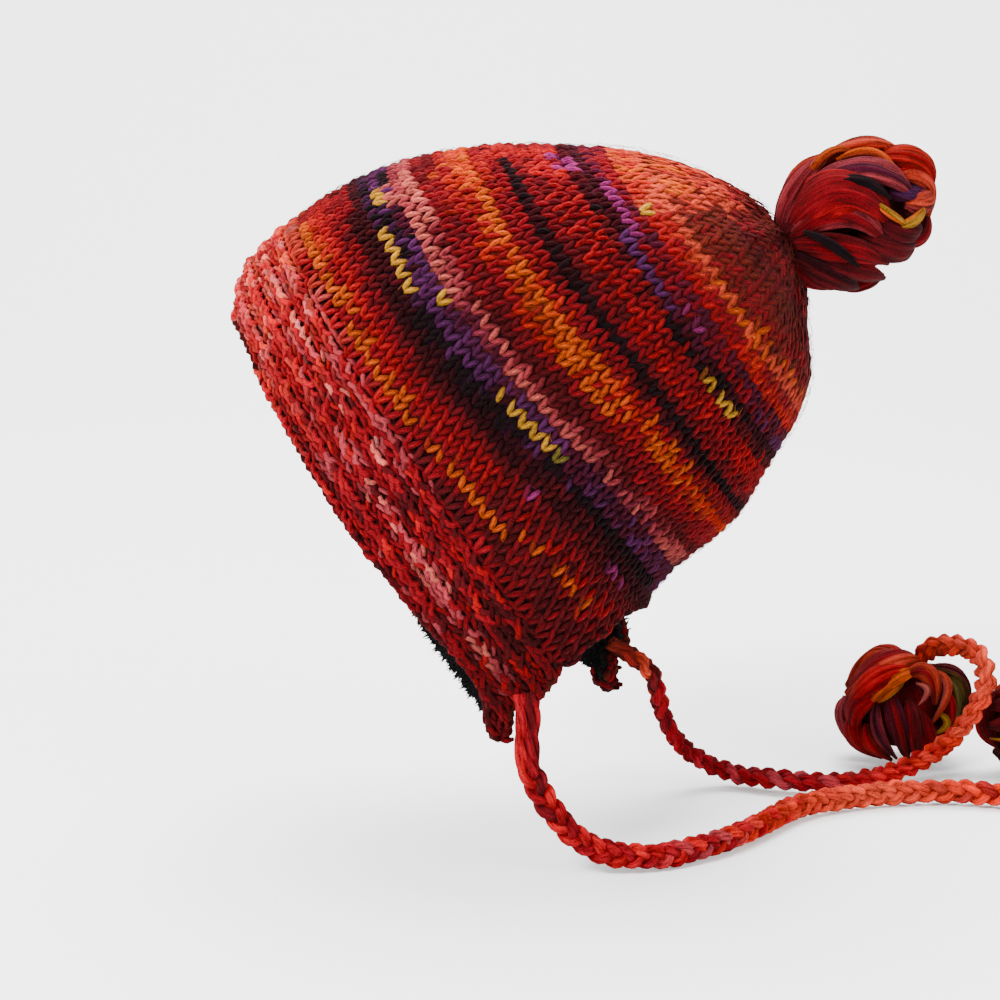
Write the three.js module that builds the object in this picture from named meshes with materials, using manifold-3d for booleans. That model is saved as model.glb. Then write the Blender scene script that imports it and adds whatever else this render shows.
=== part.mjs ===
// Knit earflap toque: a bulky striped hat with a ridged front band, two earflaps, a dark pile
// lining, a looped pompon on the crown and two braided ties that end in looped pompons.
// Millimetres. The front of the hat faces -Y, the wearer's left side faces +X, +Z is up.
// The origin is the inside of the top of the hat, where the head bears.
import * as THREE from 'three';
import { mergeVertices } from 'three/addons/utils/BufferGeometryUtils.js';
import Module from 'manifold-3d';

const wasm = await Module();
wasm.setup();

// Driving dimensions
const ROW_TILT = THREE.MathUtils.degToRad(56.5);
const RIM_FRONT_Y = -98.9;
const RIM_FRONT_Z = -75.3;
const WALL = 5.0;
const LINING = 2.6;
const GAP = 0.3;
const LINING_EDGE_IN = 1.4;
const BAND_TOP = 46;
const RIDGE_PITCH = 8.8;
const RIDGE_DEPTH = 0.8;
const RIDGE_START = 4;
const GATHER_FOLDS = 10;
const GATHER_START = 176;
const GATHER_DEPTH = 4.2;
const GATHER_END = 6;
const CROWN_TOP = 217;
const TIE_RADIUS = 5.4;
const TIE_SIDES = 8;
const TIE_STEP = 13;
const COLUMN_STRAIGHT = 75;
const ROW_CROWDING = 1.3;
const EDGE_ROUND = 1.2;
const NOTCH_DEPTH = 3.8;
const NOTCH_HEIGHT = 18;
const NOTCH_REACH = 10;
const NOTCH_WIDTH = 9;

// The far flap sits further round the head than the near one and is drawn backwards and inwards:
// the angles between which each change comes in and fades out, and the heights between which the
// flap's pull fades.
const FAR_TWIST = { degrees: 12, from: 60, full: 115, fade: 135, end: 178 };
const FAR_SWING = { x: 31, y: 40, z: 8, from: 70, full: 135, fade: 150, end: 180, low: 8, high: 75 };

const PALETTE = {
  crimson: '#9c1420',
  striped: '#7d1018',
  black: '#0b0a0c',
  coral: '#c8382c',
};

// The hat's girth at each height above the rim, measured along the knitted rows. Front and back
// are where a row meets the middle plane, half is half the width, and the last two columns say
// how square the front and the back of the loop are (2 is an ellipse).
const GIRTH = [
  { height: 0, front: 0.5, back: 236, half: 74, frontSquare: 2.2, backSquare: 3.2 },
  { height: 8, front: -12.5, back: 234, half: 78, frontSquare: 2.2, backSquare: 3.2 },
  { height: 24, front: -23, back: 230, half: 82, frontSquare: 2.2, backSquare: 3.1 },
  { height: 45, front: -26.5, back: 222, half: 86, frontSquare: 2.2, backSquare: 2.9 },
  { height: 62, front: -27.5, back: 210, half: 88, frontSquare: 2.2, backSquare: 2.7 },
  { height: 81, front: -26, back: 193, half: 89, frontSquare: 2.2, backSquare: 2.5 },
  { height: 100, front: -21.5, back: 186, half: 88, frontSquare: 2.2, backSquare: 2.4 },
  { height: 130, front: -9, back: 183, half: 85, frontSquare: 2.1, backSquare: 2.3 },
  { height: 158, front: 9, back: 171, half: 78, frontSquare: 2.1, backSquare: 2.2 },
  { height: 190, front: 36, back: 153, half: 62, frontSquare: 2.0, backSquare: 2.1 },
  { height: 206, front: 58, back: 128, half: 42, frontSquare: 2.0, backSquare: 2.0 },
  { height: 214, front: 74, back: 112, half: 22, frontSquare: 2.0, backSquare: 2.0 },
  { height: 217, front: 88, back: 98, half: 6, frontSquare: 2.0, backSquare: 2.0 },
];

// The lower edge of the ridged band, from the middle of the forehead to a flap tip. The station
// numbers the columns of stitches by their angle at the crown.
const BAND_EDGE = [
  { station: 0, angle: 0, height: 2 },
  { station: 12, angle: 12.5, height: 4 },
  { station: 24, angle: 25, height: 5.5 },
  { station: 38, angle: 40, height: 3.8 },
  { station: 50, angle: 53.5, height: 3 },
  { station: 60, angle: 64.8, height: 2.5 },
  { station: 68, angle: 75, height: 2.2 },
  { station: 75, angle: 82.5, height: 3.4 },
  { station: 81, angle: 89.2, height: 5 },
  { station: 86.5, angle: 94.8, height: 7.4 },
  { station: 90, angle: 98.5, height: 9 },
  { station: 94, angle: 103, height: 11 },
  { station: 99, angle: 109.2, height: 10.5 },
  { station: 102, angle: 113, height: 8.5 },
  { station: 105, angle: 114.8, height: 5 },
  { station: 108, angle: 118.5, height: 2.4 },
  { station: 111, angle: 122.2, height: 4.6 },
  { station: 114, angle: 123.4, height: 8.5 },
];

// The lower edge of the striped body: along the band, then up the back edge of the flap to the
// nape.
const BODY_EDGE = [
  { station: 0, angle: 0, height: BAND_TOP },
  { station: 30, angle: 31, height: BAND_TOP },
  { station: 60, angle: 63, height: BAND_TOP },
  { station: 90, angle: 97, height: BAND_TOP },
  { station: 114, angle: 125.2, height: BAND_TOP },
  { station: 120, angle: 128.8, height: 53.5 },
  { station: 128, angle: 134.8, height: 62.5 },
  { station: 137, angle: 141.5, height: 70 },
  { station: 146, angle: 148.5, height: 76 },
  { station: 160, angle: 161, height: 81 },
  { station: 180, angle: 180, height: 82.5 },
];

// How far the pile of the lining stands out past the edge of the knitting, down the front of each
// flap. Elsewhere it stays inside the edge.
const PILE_EDGE = [
  { station: 0, past: -1.4 },
  { station: 60, past: -1 },
  { station: 78, past: 0 },
  { station: 88, past: 3.4 },
  { station: 96, past: 4.2 },
  { station: 102, past: 2.6 },
  { station: 106, past: -1.4 },
  { station: 114, past: -1.4 },
];

// The ties: points along the middle of each braid, from the flap to its pompon.
const NEAR_TIE = [
  { x: 74.5, y: 24.3, z: -222 },
  { x: 74.5, y: 24, z: -233 },
  { x: 74.5, y: 24.6, z: -242 },
  { x: 74.5, y: 27, z: -251 },
  { x: 74.5, y: 33.8, z: -262 },
  { x: 74.5, y: 44.5, z: -274.4 },
  { x: 73.5, y: 58.4, z: -281.8 },
  { x: 70, y: 73, z: -284.5 },
  { x: 61, y: 92.5, z: -284.5 },
  { x: 42, y: 112.7, z: -284.5 },
  { x: 19.5, y: 129.7, z: -284.5 },
  { x: 0, y: 145.5, z: -284.5 },
  { x: -15, y: 173.5, z: -284.5 },
  { x: -21, y: 210, z: -284.5 },
  { x: -16, y: 236, z: -284.5 },
  { x: -10, y: 258, z: -284 },
  { x: -14, y: 280, z: -282 },
  { x: -29, y: 295.5, z: -276 },
  { x: -44, y: 295.5, z: -270 },
  { x: -51.2, y: 289.9, z: -266.5 },
];
const FAR_TIE = [
  { x: -31, y: 68.9, z: -223.2 },
  { x: -31.5, y: 75.5, z: -227.4 },
  { x: -33, y: 80.6, z: -232.8 },
  { x: -35, y: 83.5, z: -240.5 },
  { x: -39, y: 86.6, z: -253.7 },
  { x: -44, y: 94, z: -268.3 },
  { x: -48, y: 106, z: -278.7 },
  { x: -48, y: 120.6, z: -284.2 },
  { x: -42, y: 135, z: -284.5 },
  { x: -37, y: 149, z: -284.5 },
  { x: -36, y: 164, z: -284.5 },
  { x: -41, y: 181, z: -284.5 },
  { x: -46, y: 195.5, z: -282.1 },
  { x: -49, y: 209.5, z: -275.9 },
  { x: -45.5, y: 220, z: -265.3 },
  { x: -42.5, y: 227.8, z: -252.7 },
  { x: -46, y: 233.3, z: -240.6 },
  { x: -56, y: 231.6, z: -231 },
  { x: -66, y: 225.5, z: -229 },
  { x: -75, y: 217.5, z: -231 },
  { x: -80.8, y: 211, z: -235.8 },
];

// The pompons: middle, direction that the loops fan out towards, radius, how much the ball is
// flattened and lengthened, how many loops show and where the first one lies.
const CROWN_POMPON = {
  middle: new THREE.Vector3(0, 160.5, -24.5),
  axis: new THREE.Vector3(0, 0.7, 0.71),
  radius: 31,
  flat: 1,
  long: 1.1,
  loops: 15,
  first: 3,
};
const NEAR_POMPON = {
  middle: new THREE.Vector3(-56, 260, -263),
  axis: new THREE.Vector3(0.2, -0.9, 0.3),
  radius: 28,
  flat: 0.93,
  long: 1,
  loops: 13,
  first: 5,
};
const FAR_POMPON = {
  middle: new THREE.Vector3(-86, 201.5, -262.5),
  axis: new THREE.Vector3(0.5, -0.8, -0.1),
  radius: 30.5,
  flat: 0.9,
  long: 1,
  loops: 13,
  first: 8,
};

// One loop of a pompon and the soft head behind the loops, as shares of the pompon's radius. The
// loops cover a cap of this share of the ball, and each varies a little in size.
const LOOP = { width: 0.34, thick: 0.2, length: 0.52, out: 0.77, vary: 0.04, cap: 0.85 };
const HEAD = 0.82;

// A table's column at a value of another column, eased so that it never overshoots its rows.
function along(table, by, value, column) {
  const last = table.length - 1;
  if (value <= table[0][by]) return table[0][column];
  if (value >= table[last][by]) return table[last][column];
  let i = 0;
  while (value > table[i + 1][by]) i += 1;
  const step = (k) => table[k + 1][by] - table[k][by];
  const slope = (k) => (table[k + 1][column] - table[k][column]) / step(k);
  const tangent = (k) => {
    if (k === 0) return slope(0);
    if (k === last) return slope(last - 1);
    const before = slope(k - 1);
    const after = slope(k);
    if (before * after <= 0) return 0;
    const weightBefore = 2 * step(k) + step(k - 1);
    const weightAfter = step(k) + 2 * step(k - 1);
    return (weightBefore + weightAfter) / (weightBefore / before + weightAfter / after);
  };
  const width = step(i);
  const t = (value - table[i][by]) / width;
  const rest = 1 - t;
  return (1 + 2 * t) * rest * rest * table[i][column] + t * rest * rest * width * tangent(i)
    + t * t * (3 - 2 * t) * table[i + 1][column] - t * t * rest * width * tangent(i + 1);
}

const smooth = (from, to, value) => THREE.MathUtils.smoothstep(value, from, to);

// How much of a change applies at an angle from the forehead.
const share = ({ from, full, fade, end }, angle) => smooth(from, full, angle) * (1 - smooth(fade, end, angle));

const farAngle = (angle) => angle + FAR_TWIST.degrees * share(FAR_TWIST, angle);

function farSwing(angle, height) {
  return share(FAR_SWING, angle) * (1 - smooth(FAR_SWING.low, FAR_SWING.high, height));
}

// A point of the outer face. The angle is in degrees: 0 at the forehead, 180 at the nape, positive
// on the near (left) side. The height is measured square to the knitted rows.
function outer(angle, height) {
  const front = along(GIRTH, 'height', height, 'front');
  const back = along(GIRTH, 'height', height, 'back');
  const turn = THREE.MathUtils.degToRad(angle);
  const fold = GATHER_DEPTH * smooth(GATHER_START, CROWN_TOP - GATHER_END, height)
    * (0.5 - 0.5 * Math.cos(turn * GATHER_FOLDS))
    * (1 - smooth(CROWN_TOP - GATHER_END, CROWN_TOP, height));
  const half = along(GIRTH, 'height', height, 'half') - fold;
  const reach = (back - front) / 2 - fold;
  const cos = Math.cos(turn);
  const sin = Math.sin(turn);
  const square = along(GIRTH, 'height', height, cos > 0 ? 'frontSquare' : 'backSquare');
  const row = (front + back) / 2 - reach * Math.sign(cos) * Math.abs(cos) ** (2 / square);
  const side = half * Math.sign(sin) * Math.abs(sin) ** (2 / square);
  const point = new THREE.Vector3(
    side,
    RIM_FRONT_Y + row * Math.cos(ROW_TILT) + height * Math.sin(ROW_TILT),
    RIM_FRONT_Z - row * Math.sin(ROW_TILT) + height * Math.cos(ROW_TILT),
  );
  const signed = ((angle + 180) % 360 + 360) % 360 - 180;
  if (signed < 0) {
    const swing = new THREE.Vector3(FAR_SWING.x, FAR_SWING.y, FAR_SWING.z);
    point.addScaledVector(swing, farSwing(-signed, height));
  }
  return point;
}

// The outward direction, from the slope of the face across a small step each way.
const SLOPE_TURN = 1.5;
const SLOPE_RISE = 0.75;

function normal(angle, height) {
  const top = Math.min(height + SLOPE_RISE, CROWN_TOP);
  const round = outer(angle + SLOPE_TURN, height).sub(outer(angle - SLOPE_TURN, height));
  const up = outer(angle, top).sub(outer(angle, top - 2 * SLOPE_RISE));
  return round.cross(up).normalize();
}

function ridge(height) {
  return RIDGE_DEPTH * (0.5 + 0.5 * Math.cos(2 * Math.PI * (height - RIDGE_START) / RIDGE_PITCH));
}

// A point at a depth below the outer face.
function inside(angle, height, depth) {
  return outer(angle, height).addScaledVector(normal(angle, height), -depth);
}

function geometryOf(points, faces) {
  const geometry = new THREE.BufferGeometry();
  const positions = new Float32Array(points.flatMap((point) => [point.x, point.y, point.z]));
  let volume = 0;
  for (const [a, b, c] of faces) {
    volume += points[a].dot(points[b].clone().cross(points[c]));
  }
  const index = faces.flatMap(([a, b, c]) => (volume > 0 ? [a, b, c] : [a, c, b]));
  geometry.setAttribute('position', new THREE.BufferAttribute(positions, 3));
  geometry.setIndex(index);
  geometry.computeVertexNormals();
  return geometry;
}

// A fabric of real thickness. Each column lists its points from the outer top edge down, round
// the lower edge and up the inner face. A ring closes on itself, a pole gathers the top to a
// point, and a strip gets a flat end at each side.
function fabric(columns, { ring, pole, split }) {
  const points = [];
  const faces = [];
  const count = columns[0].length;
  const id = [];
  for (const column of columns) {
    id.push(column.map((point) => points.push(point) - 1));
  }
  if (pole) {
    for (const end of [0, count - 1]) {
      const middle = new THREE.Vector3();
      columns.forEach((column) => middle.addScaledVector(column[end], 1 / columns.length));
      const centre = points.push(middle) - 1;
      columns.forEach((column, i) => {
        const next = (i + 1) % columns.length;
        faces.push(end === 0 ? [id[i][end], id[next][end], centre] : [id[next][end], id[i][end], centre]);
      });
    }
  }
  const spans = ring ? columns.length : columns.length - 1;
  for (let i = 0; i < spans; i += 1) {
    const next = (i + 1) % columns.length;
    const strips = pole ? count - 1 : count;
    for (let j = 0; j < strips; j += 1) {
      const down = (j + 1) % count;
      faces.push([id[i][j], id[i][down], id[next][down]]);
      faces.push([id[i][j], id[next][down], id[next][j]]);
    }
  }
  if (!ring) {
    for (const [i, flip] of [[0, false], [columns.length - 1, true]]) {
      let front = 0;
      let back = count - 1;
      while (back - front > 1) {
        const outerNext = (front + 1) / split;
        const innerNext = (count - back) / (count - 1 - split);
        const forward = outerNext <= innerNext;
        const corner = forward ? front + 1 : back - 1;
        const face = [id[i][front], id[i][back], id[i][corner]];
        faces.push(flip ? [face[0], face[2], face[1]] : face);
        if (forward) {
          front = corner;
        } else {
          back = corner;
        }
      }
    }
  }
  return geometryOf(points, faces);
}

// One column of a wall from its upper edge down the outer face, round the lower edge and up the
// inner face. The spot function gives the angle and height at each fraction of the way up.
function wallColumn({ spot, outerRows, innerRows, from, thick, relief, round }) {
  const column = [];
  for (let j = outerRows; j >= 0; j -= 1) {
    const { angle, height } = spot(j / outerRows);
    column.push(inside(angle, height + (j === 0 ? round : 0), from - relief(height)));
  }
  const edge = spot(0);
  column.push(inside(edge.angle, edge.height, from + thick / 2));
  for (let j = 0; j <= innerRows; j += 1) {
    const { angle, height } = spot(j / innerRows);
    column.push(inside(angle, height + (j === 0 ? round : 0), from + thick));
  }
  return column;
}

// Columns of stitches round the hat, closer together where a flap ends.
const SIDE_STATIONS = [
  ...Array.from({ length: 16 }, (_, i) => 6 * (i + 1)),
  99, 102, 105, 108, 111, 114,
  ...Array.from({ length: 10 }, (_, i) => 120 + 6 * i),
];
const STATIONS = [...SIDE_STATIONS.map((station) => -station).reverse(), 0, ...SIDE_STATIONS, 180];
const FLAP_END = 114;
const even = () => 0;

// The signed angle of a table's edge at a station, further round on the far side.
function edgeAngle(table, station) {
  const angle = along(table, 'station', Math.abs(station), 'angle');
  return station < 0 ? -farAngle(angle) : angle;
}

// The fraction of the way up a column of the striped body, as an angle and a height.
function bodySpot(station, t) {
  const low = along(BODY_EDGE, 'station', Math.abs(station), 'height') + GAP;
  const height = THREE.MathUtils.lerp(low, CROWN_TOP, 1 - (1 - t) ** ROW_CROWDING);
  const straight = smooth(low, low + COLUMN_STRAIGHT, height);
  const angle = THREE.MathUtils.lerp(edgeAngle(BODY_EDGE, station), station, straight);
  return { angle, height };
}

// The same for the ridged band. A notch in each flap tip takes the strands of the tie.
function bandSpot(station, t) {
  const place = Math.abs(station);
  const bottom = along(BAND_EDGE, 'station', place, 'height');
  const height = THREE.MathUtils.lerp(bottom, BAND_TOP - GAP, t);
  const away = Math.abs(height - NOTCH_HEIGHT) / NOTCH_REACH;
  const notch = NOTCH_DEPTH * (1 - smooth(0, 1, away)) * smooth(FLAP_END - NOTCH_WIDTH, FLAP_END, place);
  const angle = THREE.MathUtils.lerp(edgeAngle(BAND_EDGE, station), edgeAngle(BODY_EDGE, station), t);
  return { angle: angle - Math.sign(station) * notch, height };
}

const inBand = (station) => Math.abs(station) <= FLAP_END;

// Striped body: the columns run from the lower edge to the crown.
const BODY_ROWS = 14;
const BODY_INNER_ROWS = 8;

function body(from, thick) {
  const columns = STATIONS.map((station) => wallColumn({
    spot: (t) => bodySpot(station, t),
    outerRows: BODY_ROWS,
    innerRows: BODY_INNER_ROWS,
    from,
    thick,
    relief: even,
    round: 0,
  }));
  return fabric(columns, { ring: true, pole: true });
}

// Ridged band: columns from one flap tip over the forehead to the other.
const BAND_ROWS = 16;
const BAND_INNER_ROWS = 4;

function band() {
  const columns = STATIONS.filter(inBand).map((station) => wallColumn({
    spot: (t) => bandSpot(station, t),
    outerRows: BAND_ROWS,
    innerRows: BAND_INNER_ROWS,
    from: 0,
    thick: WALL,
    relief: ridge,
    round: EDGE_ROUND,
  }));
  return fabric(columns, { ring: false, pole: false, split: BAND_ROWS + 1 });
}

// Lining: a thin ring of pile that lies on the inner faces of the band and the body, row by row.
function lining() {
  const outside = [];
  const within = [];
  const place = ({ angle, height }) => {
    outside.push(inside(angle, height, WALL + GAP));
    return within.push(inside(angle, height, WALL + GAP + LINING)) - 1;
  };
  const columns = STATIONS.map((station) => {
    const ids = [];
    const inward = Math.abs(station) === FLAP_END ? Math.sign(station) * LINING_EDGE_IN : 0;
    if (inBand(station)) {
      const past = along(PILE_EDGE, 'station', Math.abs(station), 'past');
      for (let j = 0; j < BAND_INNER_ROWS; j += 1) {
        const { angle, height } = bandSpot(station, j / BAND_INNER_ROWS);
        ids.push(place({ angle: angle - inward, height: height - (j === 0 ? past : 0) }));
      }
    }
    const edge = bodySpot(station, 0);
    const lift = inBand(station) ? 0 : LINING_EDGE_IN;
    ids.push(place({ angle: edge.angle - inward, height: edge.height + lift }));
    ids.push(place(bodySpot(station, 1 / BODY_INNER_ROWS)));
    return ids;
  });
  const quads = [];
  columns.forEach((column, i) => {
    const next = columns[(i + 1) % columns.length];
    const shared = Math.min(column.length, next.length);
    for (let k = 1; k < shared; k += 1) {
      const [top, bottom] = [column.length - k, column.length - k - 1];
      const [nextTop, nextBottom] = [next.length - k, next.length - k - 1];
      quads.push([column[bottom], column[top], next[nextTop], next[nextBottom]]);
    }
  });
  return thickened(outside, within, quads);
}

// A sheet of quads given by its two faces, closed all round its open edges.
function thickened(outside, within, quads) {
  const count = outside.length;
  const faces = [];
  const edges = new Map();
  for (const [a, b, c, d] of quads) {
    faces.push([a, c, b], [a, d, c], [a + count, b + count, c + count], [a + count, c + count, d + count]);
    for (const [from, to] of [[a, d], [d, c], [c, b], [b, a]]) {
      if (edges.has(`${to} ${from}`)) {
        edges.delete(`${to} ${from}`);
      } else {
        edges.set(`${from} ${to}`, [from, to]);
      }
    }
  }
  for (const [from, to] of edges.values()) {
    faces.push([to, from, from + count], [to, from + count, to + count]);
  }
  return geometryOf([...outside, ...within], faces);
}

function solidOf(geometry) {
  const bare = geometry.clone();
  bare.deleteAttribute('normal');
  bare.deleteAttribute('uv');
  const merged = mergeVertices(bare, 1e-4);
  return new wasm.Manifold(new wasm.Mesh({
    numProp: 3,
    vertProperties: new Float32Array(merged.attributes.position.array),
    triVerts: new Uint32Array(merged.index.array),
  }));
}

function geometryFrom(solid) {
  const mesh = solid.getMesh();
  const geometry = new THREE.BufferGeometry();
  const positions = [];
  for (let i = 0; i < mesh.numVert; i += 1) {
    positions.push(...mesh.vertProperties.slice(i * mesh.numProp, i * mesh.numProp + 3));
  }
  geometry.setAttribute('position', new THREE.BufferAttribute(new Float32Array(positions), 3));
  geometry.setIndex(Array.from(mesh.triVerts));
  geometry.computeVertexNormals();
  return geometry;
}

// A pompon: loops of roving fanned out from a knot and fused to a soft head.
const LOOP_TURN = Math.PI * (3 - Math.sqrt(5));

function pompon({ middle, axis, radius, flat, long, loops, first }, cutter) {
  let solid = solidOf(new THREE.SphereGeometry(radius * HEAD, 9, 6));
  for (let i = 0; i < loops; i += 1) {
    const polar = Math.acos(1 - 2 * LOOP.cap * (i + 0.5) / loops);
    const azimuth = i * LOOP_TURN + first;
    const vary = LOOP.vary * Math.sin(azimuth);
    const lock = new THREE.SphereGeometry(1, 6, 5);
    lock.scale(radius * (LOOP.width + vary), radius * LOOP.thick, radius * (LOOP.length + vary));
    const outward = new THREE.Vector3().setFromSphericalCoords(1, polar, azimuth);
    const down = new THREE.Vector3().setFromSphericalCoords(1, polar + Math.PI / 2, azimuth);
    const sideways = new THREE.Vector3().crossVectors(outward, down);
    lock.applyMatrix4(new THREE.Matrix4().makeBasis(sideways, outward, down));
    lock.translate(...outward.multiplyScalar(radius * (LOOP.out + vary)).toArray());
    solid = solid.add(solidOf(lock));
  }
  const geometry = geometryFrom(solid);
  geometry.scale(1, long, 1);
  const up = new THREE.Vector3(0, 1, 0);
  geometry.applyQuaternion(new THREE.Quaternion().setFromUnitVectors(up, axis.clone().normalize()));
  geometry.scale(1, 1, flat);
  geometry.translate(...middle.toArray());
  solid = solidOf(geometry);
  if (cutter) solid = solid.subtract(solidOf(cutter));
  const [largest] = solid.decompose().sort((a, b) => b.volume() - a.volume());
  return geometryFrom(largest);
}

function tie(route) {
  const curve = new THREE.CatmullRomCurve3(
    route.map((point) => new THREE.Vector3(point.x, point.y, point.z)),
    false,
    'centripetal',
  );
  const section = new THREE.Shape();
  for (let i = 0; i < TIE_SIDES; i += 1) {
    const turn = 2 * Math.PI * (i + 0.5) / TIE_SIDES;
    const across = TIE_RADIUS * Math.cos(turn);
    const up = TIE_RADIUS * Math.sin(turn);
    if (i === 0) {
      section.moveTo(across, up);
    } else {
      section.lineTo(across, up);
    }
  }
  section.closePath();
  return new THREE.ExtrudeGeometry(section, {
    steps: Math.round(curve.getLength() / TIE_STEP),
    extrudePath: curve,
    curveSegments: 1,
  });
}

const toque = new THREE.Group();
toque.name = 'knit_toque';

function piece(name, geometry, color, roughness) {
  const material = new THREE.MeshStandardMaterial({ color, roughness, metalness: 0 });
  const mesh = new THREE.Mesh(geometry, material);
  mesh.name = name;
  toque.add(mesh);
}

piece('knit_body', body(0, WALL), PALETTE.striped, 0.95);
piece('garter_band', band(), PALETTE.crimson, 0.95);
piece('fleece_lining', lining(), PALETTE.black, 1);
piece('crown_pompon', pompon(CROWN_POMPON, body(-GAP, WALL)), PALETTE.crimson, 0.95);
piece('near_tie', tie(NEAR_TIE), PALETTE.coral, 0.95);
piece('far_tie', tie(FAR_TIE), PALETTE.coral, 0.95);
piece('near_tie_pompon', pompon(NEAR_POMPON), PALETTE.crimson, 0.95);
piece('far_tie_pompon', pompon(FAR_POMPON), PALETTE.crimson, 0.95);

export default toque;
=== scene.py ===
# %% [markdown]
# # Knit earflap toque
# A bulky hand-knitted winter hat: a striped body in stocking stitch, a ridged band in garter stitch
# that runs down into two earflaps, a black pile lining, a looped pompon on the crown and two
# braided ties with looped pompons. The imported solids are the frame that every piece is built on.

# %% Load the frame
import math
import bpy
import numpy as np
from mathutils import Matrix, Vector


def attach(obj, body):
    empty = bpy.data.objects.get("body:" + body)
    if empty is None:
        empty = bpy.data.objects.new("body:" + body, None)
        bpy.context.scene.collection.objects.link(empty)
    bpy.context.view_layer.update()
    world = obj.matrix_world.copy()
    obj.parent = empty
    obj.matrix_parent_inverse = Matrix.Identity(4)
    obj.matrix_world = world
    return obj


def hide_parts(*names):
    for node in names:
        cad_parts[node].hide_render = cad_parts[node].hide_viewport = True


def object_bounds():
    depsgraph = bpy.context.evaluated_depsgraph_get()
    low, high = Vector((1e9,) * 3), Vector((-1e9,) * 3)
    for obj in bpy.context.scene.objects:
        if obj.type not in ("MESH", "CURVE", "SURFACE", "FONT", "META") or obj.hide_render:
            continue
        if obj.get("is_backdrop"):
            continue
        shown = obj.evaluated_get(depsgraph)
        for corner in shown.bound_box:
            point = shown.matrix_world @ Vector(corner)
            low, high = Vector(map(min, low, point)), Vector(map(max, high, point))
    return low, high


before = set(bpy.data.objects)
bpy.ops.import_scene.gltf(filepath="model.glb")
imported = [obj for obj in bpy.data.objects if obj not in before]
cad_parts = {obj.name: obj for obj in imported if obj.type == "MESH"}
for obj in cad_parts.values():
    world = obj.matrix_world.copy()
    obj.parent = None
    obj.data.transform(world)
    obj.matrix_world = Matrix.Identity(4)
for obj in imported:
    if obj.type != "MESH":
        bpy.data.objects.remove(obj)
cad_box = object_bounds()
MM = 0.001
print("frame box", [tuple(round(v, 3) for v in corner) for corner in cad_box])

# %% [markdown]
# ## The view
# The hat is seen from its left side, from a little above. A long lens keeps the near and far
# sides almost the same size, as in a product picture.

# %% Camera
VIEW_RISE = math.radians(11)
VIEW_DISTANCE = 1150
FRAME_WIDTH_AT_HAT = 430
SENSOR_WIDTH = 36
aim = np.array([0.0, 12.9, -147.6])
toward_camera = np.array([math.cos(VIEW_RISE), 0.0, math.sin(VIEW_RISE)])
view_up = np.array([-math.sin(VIEW_RISE), 0.0, math.cos(VIEW_RISE)])
view_right = np.array([0.0, 1.0, 0.0])

camera = bpy.data.objects.new("camera", bpy.data.cameras.new("camera"))
bpy.context.scene.collection.objects.link(camera)
camera.location = Vector((aim + toward_camera * VIEW_DISTANCE) * MM)
camera.rotation_mode = "QUATERNION"
camera.rotation_quaternion = Vector(-toward_camera).to_track_quat("-Z", "Y")
camera.data.sensor_width = SENSOR_WIDTH
camera.data.lens = SENSOR_WIDTH * VIEW_DISTANCE / FRAME_WIDTH_AT_HAT
camera.data.clip_start = 0.05
camera.data.clip_end = 20
bpy.context.scene.camera = camera
print("lens", round(camera.data.lens, 1), "mm")

# %% [markdown]
# ## Node wiring
# Shader and geometry trees are written as Python expressions. A Flow is a socket with a number on
# it: + - * / on flows add Math nodes, and Wiring.node adds any other node.

# %% Flow and Wiring
class Flow:
    """A value between nodes, so that ordinary arithmetic builds the tree."""

    def __init__(self, wiring, socket):
        self.wiring = wiring
        self.socket = socket

    def math(self, operation, *values):
        inputs = {i: value for i, value in enumerate((self,) + values)}
        return self.wiring.node("ShaderNodeMath", {"operation": operation}, inputs)

    def flipped(self, operation, value):
        return self.wiring.node("ShaderNodeMath", {"operation": operation}, {0: value, 1: self})

    def __add__(self, other):
        return self.math("ADD", other)

    __radd__ = __add__

    def __sub__(self, other):
        return self.math("SUBTRACT", other)

    def __rsub__(self, other):
        return self.flipped("SUBTRACT", other)

    def __mul__(self, other):
        return self.math("MULTIPLY", other)

    __rmul__ = __mul__

    def __truediv__(self, other):
        return self.math("DIVIDE", other)

    def clamp(self):
        return self.math("MAXIMUM", 0.0).math("MINIMUM", 1.0)


class Wiring:
    """Adds nodes to one tree and links them."""

    def __init__(self, tree):
        self.tree = tree

    def node(self, kind, settings=None, inputs=None, out=0):
        made = self.tree.nodes.new(kind)
        for name, value in (settings or {}).items():
            if name == "stops":
                ramp = made.color_ramp
                while len(ramp.elements) < len(value):
                    ramp.elements.new(0.5)
                for element, (position, colour) in zip(ramp.elements, value):
                    element.position = position
                    element.color = colour
            else:
                setattr(made, name, value)
        for key, value in (inputs or {}).items():
            if isinstance(value, Flow):
                self.tree.links.new(value.socket, made.inputs[key])
            else:
                made.inputs[key].default_value = value
        return Flow(self, made.outputs[out])

    def mix(self, factor, first, second, blend="MIX"):
        settings = {"data_type": "RGBA", "blend_type": blend}
        return self.node("ShaderNodeMix", settings, {0: factor, 6: first, 7: second}, out=2)


# %% [markdown]
# ## Yarn shades
# The yarn is a self-striping wool, so one strand runs through crimson, orange, maroon, violet and
# pink. The shades are named once here, as they look on the finished hat.

# %% Shades
DYE = 0.2


def linear(hexcode, strength=DYE):
    """A screen colour as the linear colour that nodes use, as deep as dyed wool is."""
    parts = [int(hexcode[i:i + 2], 16) / 255 for i in (1, 3, 5)]
    curved = [p / 12.92 if p <= 0.04045 else ((p + 0.055) / 1.055) ** 2.4 for p in parts]
    return np.array(curved) * strength


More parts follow.
